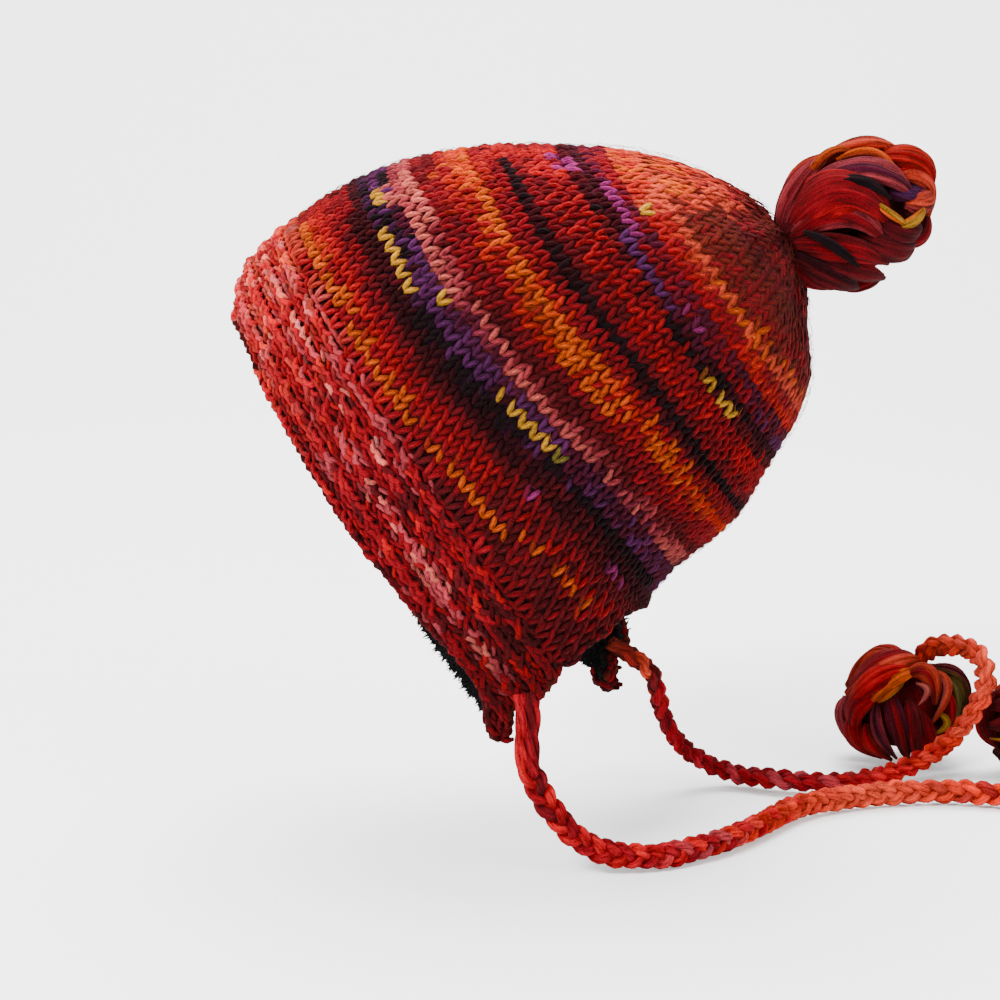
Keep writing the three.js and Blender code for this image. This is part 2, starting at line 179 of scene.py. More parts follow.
SHADES = {
    "crimson": linear("#aa0f1f"),
    "red": linear("#d60f19"),
    "scarlet": linear("#f42c10"),
    "orange": linear("#ff6208"),
    "gold": linear("#ffb331"),
    "olive": linear("#897931"),
    "coral": linear("#ff5236"),
    "salmon": linear("#f96f65"),
    "rose": linear("#cb4550"),
    "pink": linear("#f37c7c"),
    "magenta": linear("#ae317c"),
    "violet": linear("#6b2a66"),
    "plum": linear("#611631"),
    "maroon": linear("#3f0a15"),
    "oxblood": linear("#6f121b"),
    "rust": linear("#812719"),
    "black": linear("#1d1016"),
    "pile": linear("#121214", 0.6),
}

# %% [markdown]
# ## The form of the hat
# The same named sizes and tables as the solids use: a loop of the fabric at each height above the
# rim, measured square to the knitted rows, which lie tilted back. Everything is in millimetres and
# turned to metres when a mesh is made.

# %% Sizes and tables
ROW_TILT = math.radians(56.5)
RIM_FRONT_Y = -98.9
RIM_FRONT_Z = -75.3
WALL = 5.0
LINING = 2.6
GAP = 0.3
BAND_TOP = 46.0
RIDGE_PITCH = 8.8
RIDGE_DEPTH = 0.8
RIDGE_START = 4.0
GATHER_FOLDS = 10
GATHER_START = 176
GATHER_DEPTH = 4.2
GATHER_END = 6
CROWN_TOP = 217
FLAP_END = 114


def columns(names, rows):
    """A small table as one array for each named column."""
    return dict(zip(names.split(), np.array(rows, float).T))


GIRTH = columns("height front back half front_square back_square", [
    (0, 0.5, 236, 74, 2.2, 3.2),
    (8, -12.5, 234, 78, 2.2, 3.2),
    (24, -23, 230, 82, 2.2, 3.1),
    (45, -26.5, 222, 86, 2.2, 2.9),
    (62, -27.5, 210, 88, 2.2, 2.7),
    (81, -26, 193, 89, 2.2, 2.5),
    (100, -21.5, 186, 88, 2.2, 2.4),
    (130, -9, 183, 85, 2.1, 2.3),
    (158, 9, 171, 78, 2.1, 2.2),
    (190, 36, 153, 62, 2.0, 2.1),
    (206, 58, 128, 42, 2.0, 2.0),
    (214, 74, 112, 22, 2.0, 2.0),
    (217, 88, 98, 6, 2.0, 2.0),
])
BAND_EDGE = columns("station angle height", [
    (0, 0, 2), (12, 12.5, 4), (24, 25, 5.5), (38, 40, 3.8), (50, 53.5, 3), (60, 64.8, 2.5),
    (68, 75, 2.2), (75, 82.5, 3.4), (81, 89.2, 5), (86.5, 94.8, 7.4), (90, 98.5, 9),
    (94, 103, 11), (99, 109.2, 10.5), (102, 113, 8.5), (105, 114.8, 5), (108, 118.5, 2.4),
    (111, 122.2, 4.6), (114, 123.4, 8.5),
])
BODY_EDGE = columns("station angle height", [
    (0, 0, 46), (30, 31, 46), (60, 63, 46), (90, 97, 46), (114, 125.2, 46), (120, 128.8, 53.5),
    (128, 134.8, 62.5), (137, 141.5, 70), (146, 148.5, 76), (160, 161, 81), (180, 180, 82.5),
])
PILE_EDGE = columns("station past", [
    (0, -1.4), (60, -1), (78, 0), (88, 3.4), (96, 4.2), (102, 2.6), (106, -1.4), (114, -1.4),
])
FAR_TWIST = {"degrees": 12, "start": 60, "full": 115, "fade": 135, "end": 178}
FAR_SWING = {"start": 70, "full": 135, "fade": 150, "end": 180, "low": 8, "high": 75}
FAR_SWING_WAY = np.array([31.0, 40.0, 8.0])

# %% [markdown]
# The tables are read with an eased curve that never overshoots its rows, and the loop of each
# height is a rounded square. These few functions give any point of the fabric and its outward
# direction from an angle round the head and a height.

# %% Form functions
def along(table, by, value, column):
    """The column of a table at each value of another column, on a monotone cubic."""
    x = table[by]
    y = table[column]
    step = np.diff(x)
    slope = np.diff(y) / step
    tangent = np.empty_like(y)
    tangent[0] = slope[0]
    tangent[-1] = slope[-1]
    before, after = slope[:-1], slope[1:]
    same = before * after > 0
    weight_before = 2 * step[1:] + step[:-1]
    weight_after = step[1:] + 2 * step[:-1]
    safe_before = np.where(same, before, 1)
    safe_after = np.where(same, after, 1)
    mean = (weight_before + weight_after) / (weight_before / safe_before + weight_after / safe_after)
    tangent[1:-1] = np.where(same, mean, 0)
    value = np.clip(value, x[0], x[-1])
    i = np.clip(np.searchsorted(x, value, side="right") - 1, 0, len(x) - 2)
    t = (value - x[i]) / step[i]
    rest = 1 - t
    return ((1 + 2 * t) * rest**2 * y[i] + t * rest**2 * step[i] * tangent[i]
            + t**2 * (3 - 2 * t) * y[i + 1] - t**2 * rest * step[i] * tangent[i + 1])


def smooth(start, end, value):
    t = np.clip((np.asarray(value, float) - start) / (end - start), 0, 1)
    return t * t * (3 - 2 * t)


def lerp(a, b, t):
    return a + (b - a) * t


def unit(vectors):
    return vectors / np.maximum(np.linalg.norm(vectors, axis=-1, keepdims=True), 1e-12)


def share(reach, angle):
    """How much of a change applies at an angle from the forehead."""
    grown = smooth(reach["start"], reach["full"], angle)
    return grown * (1 - smooth(reach["fade"], reach["end"], angle))


def outer(angle, height):
    """A point of the outer face: angle 0 at the forehead, 180 at the nape, positive at the left."""
    angle, height = np.broadcast_arrays(np.asarray(angle, float), np.asarray(height, float))
    front = along(GIRTH, "height", height, "front")
    back = along(GIRTH, "height", height, "back")
    turn = np.radians(angle)
    fold = (GATHER_DEPTH * smooth(GATHER_START, CROWN_TOP - GATHER_END, height)
            * (0.5 - 0.5 * np.cos(turn * GATHER_FOLDS))
            * (1 - smooth(CROWN_TOP - GATHER_END, CROWN_TOP, height)))
    half = along(GIRTH, "height", height, "half") - fold
    reach = (back - front) / 2 - fold
    cos, sin = np.cos(turn), np.sin(turn)
    front_square = along(GIRTH, "height", height, "front_square")
    back_square = along(GIRTH, "height", height, "back_square")
    square = np.where(cos > 0, front_square, back_square)
    row = (front + back) / 2 - reach * np.sign(cos) * np.abs(cos) ** (2 / square)
    side = half * np.sign(sin) * np.abs(sin) ** (2 / square)
    point = np.stack([
        side,
        RIM_FRONT_Y + row * math.cos(ROW_TILT) + height * math.sin(ROW_TILT),
        RIM_FRONT_Z - row * math.sin(ROW_TILT) + height * math.cos(ROW_TILT),
    ], axis=-1)
    signed = (angle + 180) % 360 - 180
    swing = share(FAR_SWING, -signed) * (1 - smooth(FAR_SWING["low"], FAR_SWING["high"], height))
    return point + np.where(signed < 0, swing, 0)[..., None] * FAR_SWING_WAY


def directions(angle, height):
    """Unit vectors round the row, up the column and outwards."""
    top = np.minimum(height + 0.75, CROWN_TOP)
    round_way = unit(outer(angle + 1.5, height) - outer(angle - 1.5, height))
    up_way = outer(angle, top) - outer(angle, top - 1.5)
    out_way = unit(np.cross(round_way, up_way))
    return round_way, unit(np.cross(out_way, round_way)), out_way


def inside(angle, height, depth):
    """A point at a depth below the outer face."""
    out_way = directions(angle, height)[2]
    return outer(angle, height) - out_way * np.broadcast_to(depth, out_way.shape[:-1])[..., None]


def edge_angle(table, station):
    """The signed angle of a table's edge at a station, further round on the far side."""
    angle = along(table, "station", np.abs(station), "angle")
    return np.where(station < 0, -(angle + FAR_TWIST["degrees"] * share(FAR_TWIST, angle)), angle)


def body_angle(station, height):
    """Where a column of stitches of the striped body lies at a height."""
    low = along(BODY_EDGE, "station", np.abs(station), "height") + GAP
    return lerp(edge_angle(BODY_EDGE, station), station, smooth(low, low + 75, height))


def band_spot(station, t):
    """The angle and height in the ridged band, a fraction t of the way up a column."""
    place = np.abs(station)
    bottom = along(BAND_EDGE, "station", place, "height")
    height = lerp(bottom, BAND_TOP - GAP, t)
    notch = 3.8 * (1 - smooth(0, 1, np.abs(height - 18) / 10)) * smooth(FLAP_END - 9, FLAP_END, place)
    angle = lerp(edge_angle(BAND_EDGE, station), edge_angle(BODY_EDGE, station), t)
    return angle - np.sign(station) * notch, height


def ridge(height):
    return RIDGE_DEPTH * (0.5 + 0.5 * np.cos(2 * np.pi * (height - RIDGE_START) / RIDGE_PITCH))


print("widest at", round(2 * outer(90, 81)[0].item(), 1), "mm")

# %% [markdown]
# ## Chance and rows
# Handwork varies, so sizes, turns and shades are shaken by small repeatable numbers. The rows of
# the body lie a row pitch apart, measured up the fabric.

# %% Chance and rows
ROW_HIGH = 4.8


def random(*seeds):
    """A repeatable number from 0 to 1 for each set of numbers."""
    total = sum(np.asarray(s, float) * w for s, w in zip(seeds, (12.9898, 78.233, 37.719, 4.581)))
    return np.modf(np.abs(np.sin(total) * 43758.5453))[0]


def row_heights(start, pitch):
    """Heights of rows that lie a pitch apart up the fabric, averaged round the head."""
    fine = np.linspace(start, CROWN_TOP, 700)
    total = np.zeros_like(fine)
    for angle in (20, 60, 100, 150):
        steps = np.linalg.norm(np.diff(outer(angle, fine), axis=0), axis=1)
        total[1:] += np.cumsum(steps) / 4
    return np.interp(np.arange(0, total[-1], pitch), total, fine)


ROWS = row_heights(36, ROW_HIGH)
print("rows of stitches", len(ROWS))

# %% [markdown]
# ## Making a piece
# A mesh is made from points and faces in millimetres. A yarn colour sits on each point, and a map
# along the strand lets the wool show its fibres lengthwise.

# %% Mesh helpers
def colour_layer(mesh, name, values):
    """Puts a colour on each point of a mesh."""
    colours = np.ones((len(values), 4), np.float32)
    colours[:, :3] = values
    layer = mesh.attributes.new(name, "FLOAT_COLOR", "POINT")
    layer.data.foreach_set("color", colours.ravel())


def new_mesh(name, part, finish=None):
    """A smooth mesh object from points, faces, strand map, yarn colours and a layer of painted shade and
    leg.
    """
    points, faces, strand, yarn, form = part
    mesh = bpy.data.meshes.new(name)
    mesh.from_pydata((np.asarray(points) * MM).tolist(), [], [list(map(int, face)) for face in faces])
    mesh.shade_smooth()
    if yarn is not None:
        colour_layer(mesh, "yarn", np.broadcast_to(yarn, (len(points), 3)))
    if form is not None:
        colour_layer(mesh, "form", np.broadcast_to(form, (len(points), 3)))
    index = np.empty(len(mesh.loops), np.int32)
    mesh.loops.foreach_get("vertex_index", index)
    layer = mesh.uv_layers.new(name="strand")
    layer.data.foreach_set("uv", np.asarray(strand, np.float32)[index].ravel())
    if finish is not None:
        mesh.materials.append(finish)
    piece = bpy.data.objects.new(name, mesh)
    bpy.context.scene.collection.objects.link(piece)
    return piece


tally = {}


def wear(piece, slot, *nodes):
    """The piece belongs to the hat and may stand for CAD nodes."""
    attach(piece, "root")
    if nodes:
        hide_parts(*nodes)
    tally[piece.name] = sum(p.loop_total - 2 for p in piece.data.polygons)
    print(piece.name, tally[piece.name], "triangles")
    return piece


def tube(path, across, half_wide, half_thick, sides, groove=1.0):
    """A closed strand along a path. across is the direction of its width at each point."""
    path = np.asarray(path, float)
    count = len(path)
    tangent = unit(np.gradient(path, axis=0))
    side = unit(across - tangent * np.sum(across * tangent, axis=1, keepdims=True))
    thick = np.cross(side, tangent)
    run = distance_along(path)
    turn = 2 * np.pi * np.arange(sides) / sides
    wide = np.broadcast_to(half_wide, count)[:, None] * np.cos(turn)[None, :] * groove
    tall = np.broadcast_to(half_thick, count)[:, None] * np.sin(turn)[None, :] * groove
    points = path[:, None, :] + wide[..., None] * side[:, None, :] + tall[..., None] * thick[:, None, :]
    points = np.concatenate([points.reshape(-1, 3), path[:1], path[-1:]])
    faces = []
    for i in range(count - 1):
        for k in range(sides):
            after = (k + 1) % sides
            here, ahead = i * sides, (i + 1) * sides
            faces.append([here + k, ahead + k, ahead + after, here + after])
    first, last = count * sides, count * sides + 1
    for k in range(sides):
        after = (k + 1) % sides
        faces.append([first, k, after])
        faces.append([last, (count - 1) * sides + after, (count - 1) * sides + k])
    around = np.broadcast_to(turn / (2 * np.pi), (count, sides))
    length = np.broadcast_to(run[:, None], (count, sides))
    strand = np.stack([around.ravel(), length.ravel()], axis=1)
    strand = np.concatenate([strand, [[0.5, 0], [0.5, run[-1]]]])
    return points, faces, strand


def per_ring(values, sides):
    """Values of each ring of a tube as values of its points."""
    values = np.asarray(values, float)
    return np.concatenate([np.repeat(values, sides, axis=0), values[:1], values[-1:]])


def distance_along(path):
    steps = np.linalg.norm(np.diff(path, axis=0), axis=1)
    return np.concatenate([[0], np.cumsum(steps)])


def joined(parts):
    """Several parts as one."""
    points, faces, strands, yarns, painted_shades_and_legs, start = [], [], [], [], [], 0
    for part_points, part_faces, strand, yarn, form in parts:
        points.append(part_points)
        strands.append(strand)
        yarns.append(np.broadcast_to(yarn, (len(part_points), 3)))
        painted_shades_and_legs.append(np.broadcast_to(form, (len(part_points), 3)))
        faces.extend([[v + start for v in face] for face in part_faces])
        start += len(part_points)
    return (np.concatenate(points), faces, np.concatenate(strands),
            np.concatenate(yarns), np.concatenate(painted_shades_and_legs))

# %% [markdown]
# ## Wool
# Hand-spun wool is matt, a little fuzzy at the edges, and streaked along the strand where lighter
# and darker fibres were spun together. The streaks and a fine bump follow the strand map, and a
# soft sheen stands for the fibre ends that catch the light. A painted shade on each point darkens
# the colour in the valleys of the fabric.

# %% Wool finishes
def wool(name, streaks=1.4, along_scale=0.35, streak_depth=1.5, bump=1.0, sheen=0.02):
    """A wool material that takes its colour from the yarn on each point.

    A second colour layer holds the painted shade (0 in the valleys of the fabric) and which leg of a
    stitch."""
    material = bpy.data.materials.new(name)
    material.use_nodes = True
    tree = material.node_tree
    tree.nodes.clear()
    wire = Wiring(tree)
    form = wire.node("ShaderNodeAttribute", {"attribute_name": "form"})
    painted_shade = wire.node("ShaderNodeSeparateColor", {}, {0: form}, out=0)
    leg = wire.node("ShaderNodeSeparateColor", {}, {0: form}, out=1)
    one = wire.node("ShaderNodeAttribute", {"attribute_name": "yarn"})
    other = wire.node("ShaderNodeAttribute", {"attribute_name": "yarn_other"})
    yarn = wire.mix(leg, one, other)
    strand = wire.node("ShaderNodeUVMap", {"uv_map": "strand"})
    stretch = {0: strand, 1: (streaks * 6, along_scale, 1)}
    streaked = wire.node("ShaderNodeVectorMath", {"operation": "MULTIPLY"}, stretch)
    fibres = wire.node("ShaderNodeTexNoise", {}, {"Vector": streaked, "Scale": 1.0, "Detail": 3.0})
    place = wire.node("ShaderNodeTexCoord", {}, {}, out=3)
    tone = wire.node("ShaderNodeTexNoise", {}, {"Vector": place, "Scale": 95.0, "Detail": 2.0})
    fuzz = wire.node("ShaderNodeTexNoise", {}, {"Vector": place, "Scale": 1500.0, "Detail": 2.0})
    light = (fibres - 0.5) * (2 * streak_depth) + (tone - 0.5) * 1.2 + (fuzz - 0.5) * 1.6 + 1.0
    # Painted shade: the streaked colour is darkened down to 0.45 in the valleys of the fabric.
    light = light.math("MAXIMUM", 0.15) * (painted_shade * 0.55 + 0.45)
    lightness = wire.node("ShaderNodeCombineColor", {}, {0: light, 1: light, 2: light})
    colour = wire.mix(1.0, yarn, lightness, "MULTIPLY")
    height = fibres * 0.75 + fuzz * 0.25
    normal = wire.node("ShaderNodeBump", {}, {"Height": height, "Strength": bump, "Distance": 0.0018})
    surface = {
        "Base Color": colour,
        "Normal": normal,
        "Roughness": 0.9,
        "Specular IOR Level": 0.03,
        "Sheen Weight": sheen,
        "Sheen Roughness": 0.5,
        "Sheen Tint": (1.0, 0.45, 0.4, 1),
    }
    finish_with(wire, surface)
    return material


def finish_with(wire, surface):
    """Ends a material in one surface shader."""
    shader = wire.node("ShaderNodeBsdfPrincipled", {}, surface)
    output = wire.tree.nodes.new("ShaderNodeOutputMaterial")
    wire.tree.links.new(shader.socket, output.inputs["Surface"])


stitch_wool = wool("striped_wool")
ridge_wool = wool("ridged_wool")
roving_wool = wool("roving_loops", streaks=1.6, along_scale=0.07)
braid_wool = wool("braided_roving", streaks=1.2, along_scale=0.14, streak_depth=1.4)
print("finishes", [m.name for m in bpy.data.materials])

# %% [markdown]
# ## The route of each tie
# The ties come first because their length is fixed: they hang from the flap tips, lie on the
# ground in loose curves and end in their pompons. The points are the ones the solids follow.

# %% Tie routes
NEAR_TIE = [
    (74.5, 24.3, -222), (74.5, 24, -233), (74.5, 24.6, -242), (74.5, 27, -251), (74.5, 33.8, -262),
    (74.5, 44.5, -274.4), (73.5, 58.4, -281.8), (70, 73, -284.5), (61, 92.5, -284.5),
    (42, 112.7, -284.5), (19.5, 129.7, -284.5), (0, 145.5, -284.5), (-15, 173.5, -284.5),
    (-21, 210, -284.5), (-16, 236, -284.5), (-10, 258, -284), (-14, 280, -282), (-29, 295.5, -276),
    (-44, 295.5, -270), (-51.2, 289.9, -266.5),
]
FAR_TIE = [
    (-31, 68.9, -223.2), (-31.5, 75.5, -227.4), (-33, 80.6, -232.8), (-35, 83.5, -240.5),
    (-39, 86.6, -253.7), (-44, 94, -268.3), (-48, 106, -278.7), (-48, 120.6, -284.2),
    (-42, 135, -284.5), (-37, 149, -284.5), (-36, 164, -284.5), (-41, 181, -284.5),
    (-46, 195.5, -282.1), (-49, 209.5, -275.9), (-45.5, 220, -265.3), (-42.5, 227.8, -252.7),
    (-46, 233.3, -240.6), (-56, 231.6, -231), (-66, 225.5, -229), (-75, 217.5, -231),
    (-80.8, 211, -235.8),
]


def route(points, step):
    """Evenly spaced points on a centripetal curve through the given ones."""
    points = np.asarray(points, float)
    first = 2 * points[0] - points[1]
    last = 2 * points[-1] - points[-2]
    ends = np.concatenate([[first], points, [last]])
    fine = []
    for p0, p1, p2, p3 in zip(ends, ends[1:], ends[2:], ends[3:]):
        t0 = 0.0
        t1 = t0 + np.linalg.norm(p1 - p0) ** 0.5
        t2 = t1 + np.linalg.norm(p2 - p1) ** 0.5
        t3 = t2 + np.linalg.norm(p3 - p2) ** 0.5
        t = np.linspace(t1, t2, 24, endpoint=False)[:, None]
        a1 = (t1 - t) / (t1 - t0) * p0 + (t - t0) / (t1 - t0) * p1
        a2 = (t2 - t) / (t2 - t1) * p1 + (t - t1) / (t2 - t1) * p2
        a3 = (t3 - t) / (t3 - t2) * p2 + (t - t2) / (t3 - t2) * p3
        b1 = (t2 - t) / (t2 - t0) * a1 + (t - t0) / (t2 - t0) * a2
        b2 = (t3 - t) / (t3 - t1) * a2 + (t - t1) / (t3 - t1) * a3
        fine.append((t2 - t) / (t2 - t1) * b1 + (t - t1) / (t2 - t1) * b2)
    fine = np.concatenate(fine + [points[-1:]])
    run = np.concatenate([[0], np.cumsum(np.linalg.norm(np.diff(fine, axis=0), axis=1))])
    even = np.linspace(0, run[-1], max(2, round(run[-1] / step) + 1))
    return np.stack([np.interp(even, run, fine[:, k]) for k in range(3)], axis=1), run[-1]


def steady_side(path, start):
    """A direction square to the path that turns as little as possible along it."""
    tangent = unit(np.gradient(path, axis=0))
    side = np.empty_like(path)
    current = np.asarray(start, float)
    for i, way in enumerate(tangent):
        current = current - way * np.dot(current, way)
        current = current / np.linalg.norm(current)
        side[i] = current
    return side


# %% [markdown]
# ## Braided ties
# Each tie is three thick strands, plaited, and each strand is three yarns of roving that wind
# round each other. At the flap the strands hang side by side before the plait begins, for two
# fingers' width on the near tie. A strand swings from edge to edge and rises over the others at
# each crossing, which is one sine across and one of twice the pace through the thickness. A closed
# tube for each yarn keeps the true plait from all sides.

# %% Plaited strands
YARN_RADIUS = 1.65
YARN_SIDES = 7
YARNS_APART = 1.3
PLAIT_LENGTH = 21.5
PLAIT_SWING = 2.9
PLAIT_RISE = 1.6


def colour_run(run, table):
    """Blends named shades along a strand. The table gives a distance and a shade."""
    distance = np.array([row[0] for row in table], float)
    shades = np.array([SHADES[row[1]] for row in table])
    return np.stack([np.interp(run, distance, shades[:, k]) for k in range(3)], axis=1)


def plait(path, straight, shade_tables, first_side, seed):
    """Three plaited strands of three yarns each along a path."""
    run = distance_along(path)
    side = steady_side(path, first_side)
    up = np.cross(side, unit(np.gradient(path, axis=0)))
    phase = 2 * np.pi * np.maximum(run - straight, 0) / PLAIT_LENGTH
    phase = phase + 0.5 * np.sin(run * 0.055 + seed)
    taper = np.clip((run[-1] - run) / 10, 0.3, 1)
    parts = []
    for k, table in enumerate(shade_tables):
        angle = phase + 2 * np.pi * k / 3 + 0.5
        sway = PLAIT_SWING * np.sin(angle) * taper
        rise = PLAIT_RISE * np.sin(2 * angle) * taper
        centre = path + side * sway[:, None] + up * rise[:, None]
        for m in range(3):
            around = 2 * np.pi * m / 3 + run * 0.16 + 1.7 * k
            apart = YARNS_APART * (1 + 0.2 * np.sin(run * 0.23 + 3 * m + k))
            line = centre + side * (apart * np.cos(around))[:, None]
            line = line + up * (apart * np.sin(around))[:, None]
            uneven = 0.13 * np.sin(run * 0.31 + 5 * m + 2 * k) * np.sin(run * 0.11 + m)
            thick = YARN_RADIUS * (1 + uneven)
            points, faces, strand = tube(line, up, thick, thick, YARN_SIDES)
            # Painted shade: each yarn is darker where it lies close to the middle of the braid.
            far = np.linalg.norm(points - per_ring(path, YARN_SIDES), axis=1)
            painted_shade = smooth(0.5, 5.4, far)[:, None] * [1, 0, 0]
            tone = 1.2 + 1.1 * random(np.floor(run / 7), m + 3 * k, seed)
            yarn = per_ring(colour_run(run, table) * tone[:, None], YARN_SIDES)
            parts.append((points, faces, strand + [0.33 * m, 7.0 * k], yarn, painted_shade))
    return joined(parts)


NEAR_SHADES = [
    [(0, "crimson"), (45, "oxblood"), (75, "crimson"), (120, "red"), (175, "scarlet"), (230, "coral"),
     (300, "scarlet"), (420, "coral")],
    [(0, "oxblood"), (35, "crimson"), (95, "red"), (130, "rose"), (170, "scarlet"), (240, "coral"),
     (300, "crimson"), (420, "red")],
    [(0, "crimson"), (50, "red"), (90, "crimson"), (140, "crimson"), (185, "red"), (240, "coral"),
     (290, "scarlet"), (420, "scarlet")],
]
FAR_SHADES = [
    [(0, "rust"), (25, "crimson"), (70, "crimson"), (130, "rose"), (165, "red"), (200, "scarlet"),
     (250, "coral"), (300, "scarlet")],
    [(0, "rust"), (30, "oxblood"), (90, "crimson"), (150, "crimson"), (190, "red"), (240, "coral"),
     (300, "crimson")],
    [(0, "oxblood"), (22, "coral"), (40, "crimson"), (130, "crimson"), (170, "red"), (220, "coral"),
     (300, "scarlet")],
]
TIE_STEP = 1.7
near_route = [(74.5, 23.8, -213)] + NEAR_TIE + [(-53.5, 280, -265)]
near_path, near_length = route(near_route, TIE_STEP)
far_route = [(-30.5, 61.5, -218.5)] + FAR_TIE + [(-84.5, 207.5, -244)]
far_path, far_length = route(far_route, TIE_STEP)
near_tie = new_mesh("near_tie_braid", plait(near_path, 34, NEAR_SHADES, (0, 1, 0), 1), braid_wool)
far_tie = new_mesh("far_tie_braid", plait(far_path, 8, FAR_SHADES, (1, 0, 0), 2), braid_wool)
wear(near_tie, "braided_roving", "near_tie")
wear(far_tie, "braided_roving", "far_tie")
print("tie lengths", round(near_length), round(far_length), "mm")

# %% [markdown]
# ## Looped pompons
# Each pompon is made of broad loops of unspun roving tied in the middle, so it looks more like a
# rose than a cut ball. Every loop is its own strand: a wide flat tube that leaves the knot, swells
# over the ball and tucks in again, with grooves along it. The loops that show are placed one by
# one, in the directions right, up and towards the viewer from the middle of the ball.

# %% Loops of roving
def loop_of_roving(middle, knot, start, over, end, wide, thick, core, rim, seed):
    """One broad grooved loop through three points given as (right, up, near) from the middle."""
    def place(spot):
        right, up, near = spot
        return middle + view_right * right + view_up * up + toward_camera * near

    rings, sides = 22, 40
    t = np.linspace(0, 1, rings)[:, None]
    p0, p1, p2 = place(start), place(over), place(end)
    control = 2 * p1 - (p0 + p2) / 2
    path = (1 - t) ** 2 * p0 + 2 * t * (1 - t) * control + t**2 * p2
    outward = unit(path - (middle * 0.8 + place(knot) * 0.2))
    across = unit(np.cross(unit(np.gradient(path, axis=0)), outward))
    run = distance_along(path)[:, None]
    swell = np.maximum(np.sin(np.pi * t[:, 0] ** 0.85) ** 0.55, lerp(0.45, 0.25, t[:, 0]))
    turn = (2 * np.pi * np.arange(sides) / sides)[None, :]
    phase = (3 + round(wide / 2)) * turn + 0.9 * np.sin(run * 0.12 + seed)
    phase = phase + 0.8 * np.sin(run * 0.08 + 2 * turn + seed)
    strands = 0.5 + 0.5 * np.cos(phase)
    waver = 1 + 0.07 * np.sin(run * 0.21 + 3 * turn + 1.3 * seed)
    groove = (1 - 0.13 * (1 - strands)) * waver
    half = (wide * 0.56 * swell, thick * 0.52 * swell)
    points, faces, strand = tube(path, across, half[0], half[1], sides, groove)
    # Painted shade: each loop is darker in its grooves, on its underside and towards its thin ends.
    lit = (0.25 + 0.75 * strands**0.6) * (0.3 + 0.7 * smooth(-0.9, 0.4, np.sin(turn)))
    lit = lit * (0.45 + 0.55 * swell[:, None])
    which = np.floor(phase / (2 * np.pi) + 0.5)
    tone = (0.72 + 0.5 * random(which, seed, 71))[..., None]
    edge = smooth(0.6, 0.95, np.abs(np.cos(turn)))
    blend = np.clip(edge * 0.75 + (random(which, seed, 72) < 0.22) * 0.7, 0, 1)[..., None]
    yarn = lerp(SHADES[core], SHADES[rim], blend) * tone

    def with_tips(grid):
        flat = grid.reshape(rings * sides, -1)
        return np.concatenate([flat, flat[:1], flat[-1:]])

    form = with_tips(lit[..., None]) * [1, 0, 0]
    return points, faces, strand * [wide / 4, 1] + [0.4 * seed, 0], with_tips(yarn), form


def ball(middle, radius, squash, shade):
    """The soft heart of a pompon, which shows between the loops."""
    rings, sides = 22, 36
    polar = np.linspace(0.02, np.pi - 0.02, rings)[:, None]
    around = (2 * np.pi * np.arange(sides) / sides)[None, :]
    lump = 1 + 0.05 * np.cos(7 * around + 2 * polar) + 0.04 * np.cos(5 * polar + 3 * around)
    x = radius * lump * np.sin(polar) * np.cos(around)
    y = radius * lump * np.sin(polar) * np.sin(around)
    z = radius * squash * lump * np.cos(polar) + 0 * around
    points = np.stack([x, y, z], axis=-1).reshape(-1, 3) + middle
    caps = np.array([middle + [0, 0, radius * squash], middle - [0, 0, radius * squash]])
    faces = []
    for i in range(rings - 1):
        for k in range(sides):
            after = (k + 1) % sides
            here, ahead = i * sides, (i + 1) * sides
            faces.append([here + k, ahead + k, ahead + after, here + after])
    count = rings * sides
    for k in range(sides):
        after = (k + 1) % sides
        faces.append([count, k, after])
        faces.append([count + 1, count - sides + after, count - sides + k])
    strand = np.stack([np.broadcast_to(around * 4, (rings, sides)).ravel(),
                       np.broadcast_to(polar * radius, (rings, sides)).ravel()], axis=1)
    strand = np.concatenate([strand, [[0, 0], [0, 0]]])
    # Painted shade: the heart is darkened evenly (0.5), where it shows between the loops.
    return np.concatenate([points, caps]), faces, strand, SHADES[shade], (0.5, 0, 0)


def pompon(name, middle, knot, radius, squash, loops, heart, node):
    """A soft heart of one shade with its loops round it, in place of a solid."""
    middle = np.array(middle, float)
    parts = [ball(middle, radius, squash, heart)]
    for seed, (start, over, end, wide, thick, core, rim) in enumerate(loops):
        parts.append(loop_of_roving(middle, knot, start, over, end, wide, thick, core, rim, seed))
    return wear(new_mesh(name, joined(parts), roving_wool), "roving_loops", node)

# %% [markdown]
# The crown pompon leans up and back from the top of the hat. Its loops fan out from the knot at
# the crown: a broad crimson one towards the viewer, plum and coral ones over the top, and darker
# ones below.

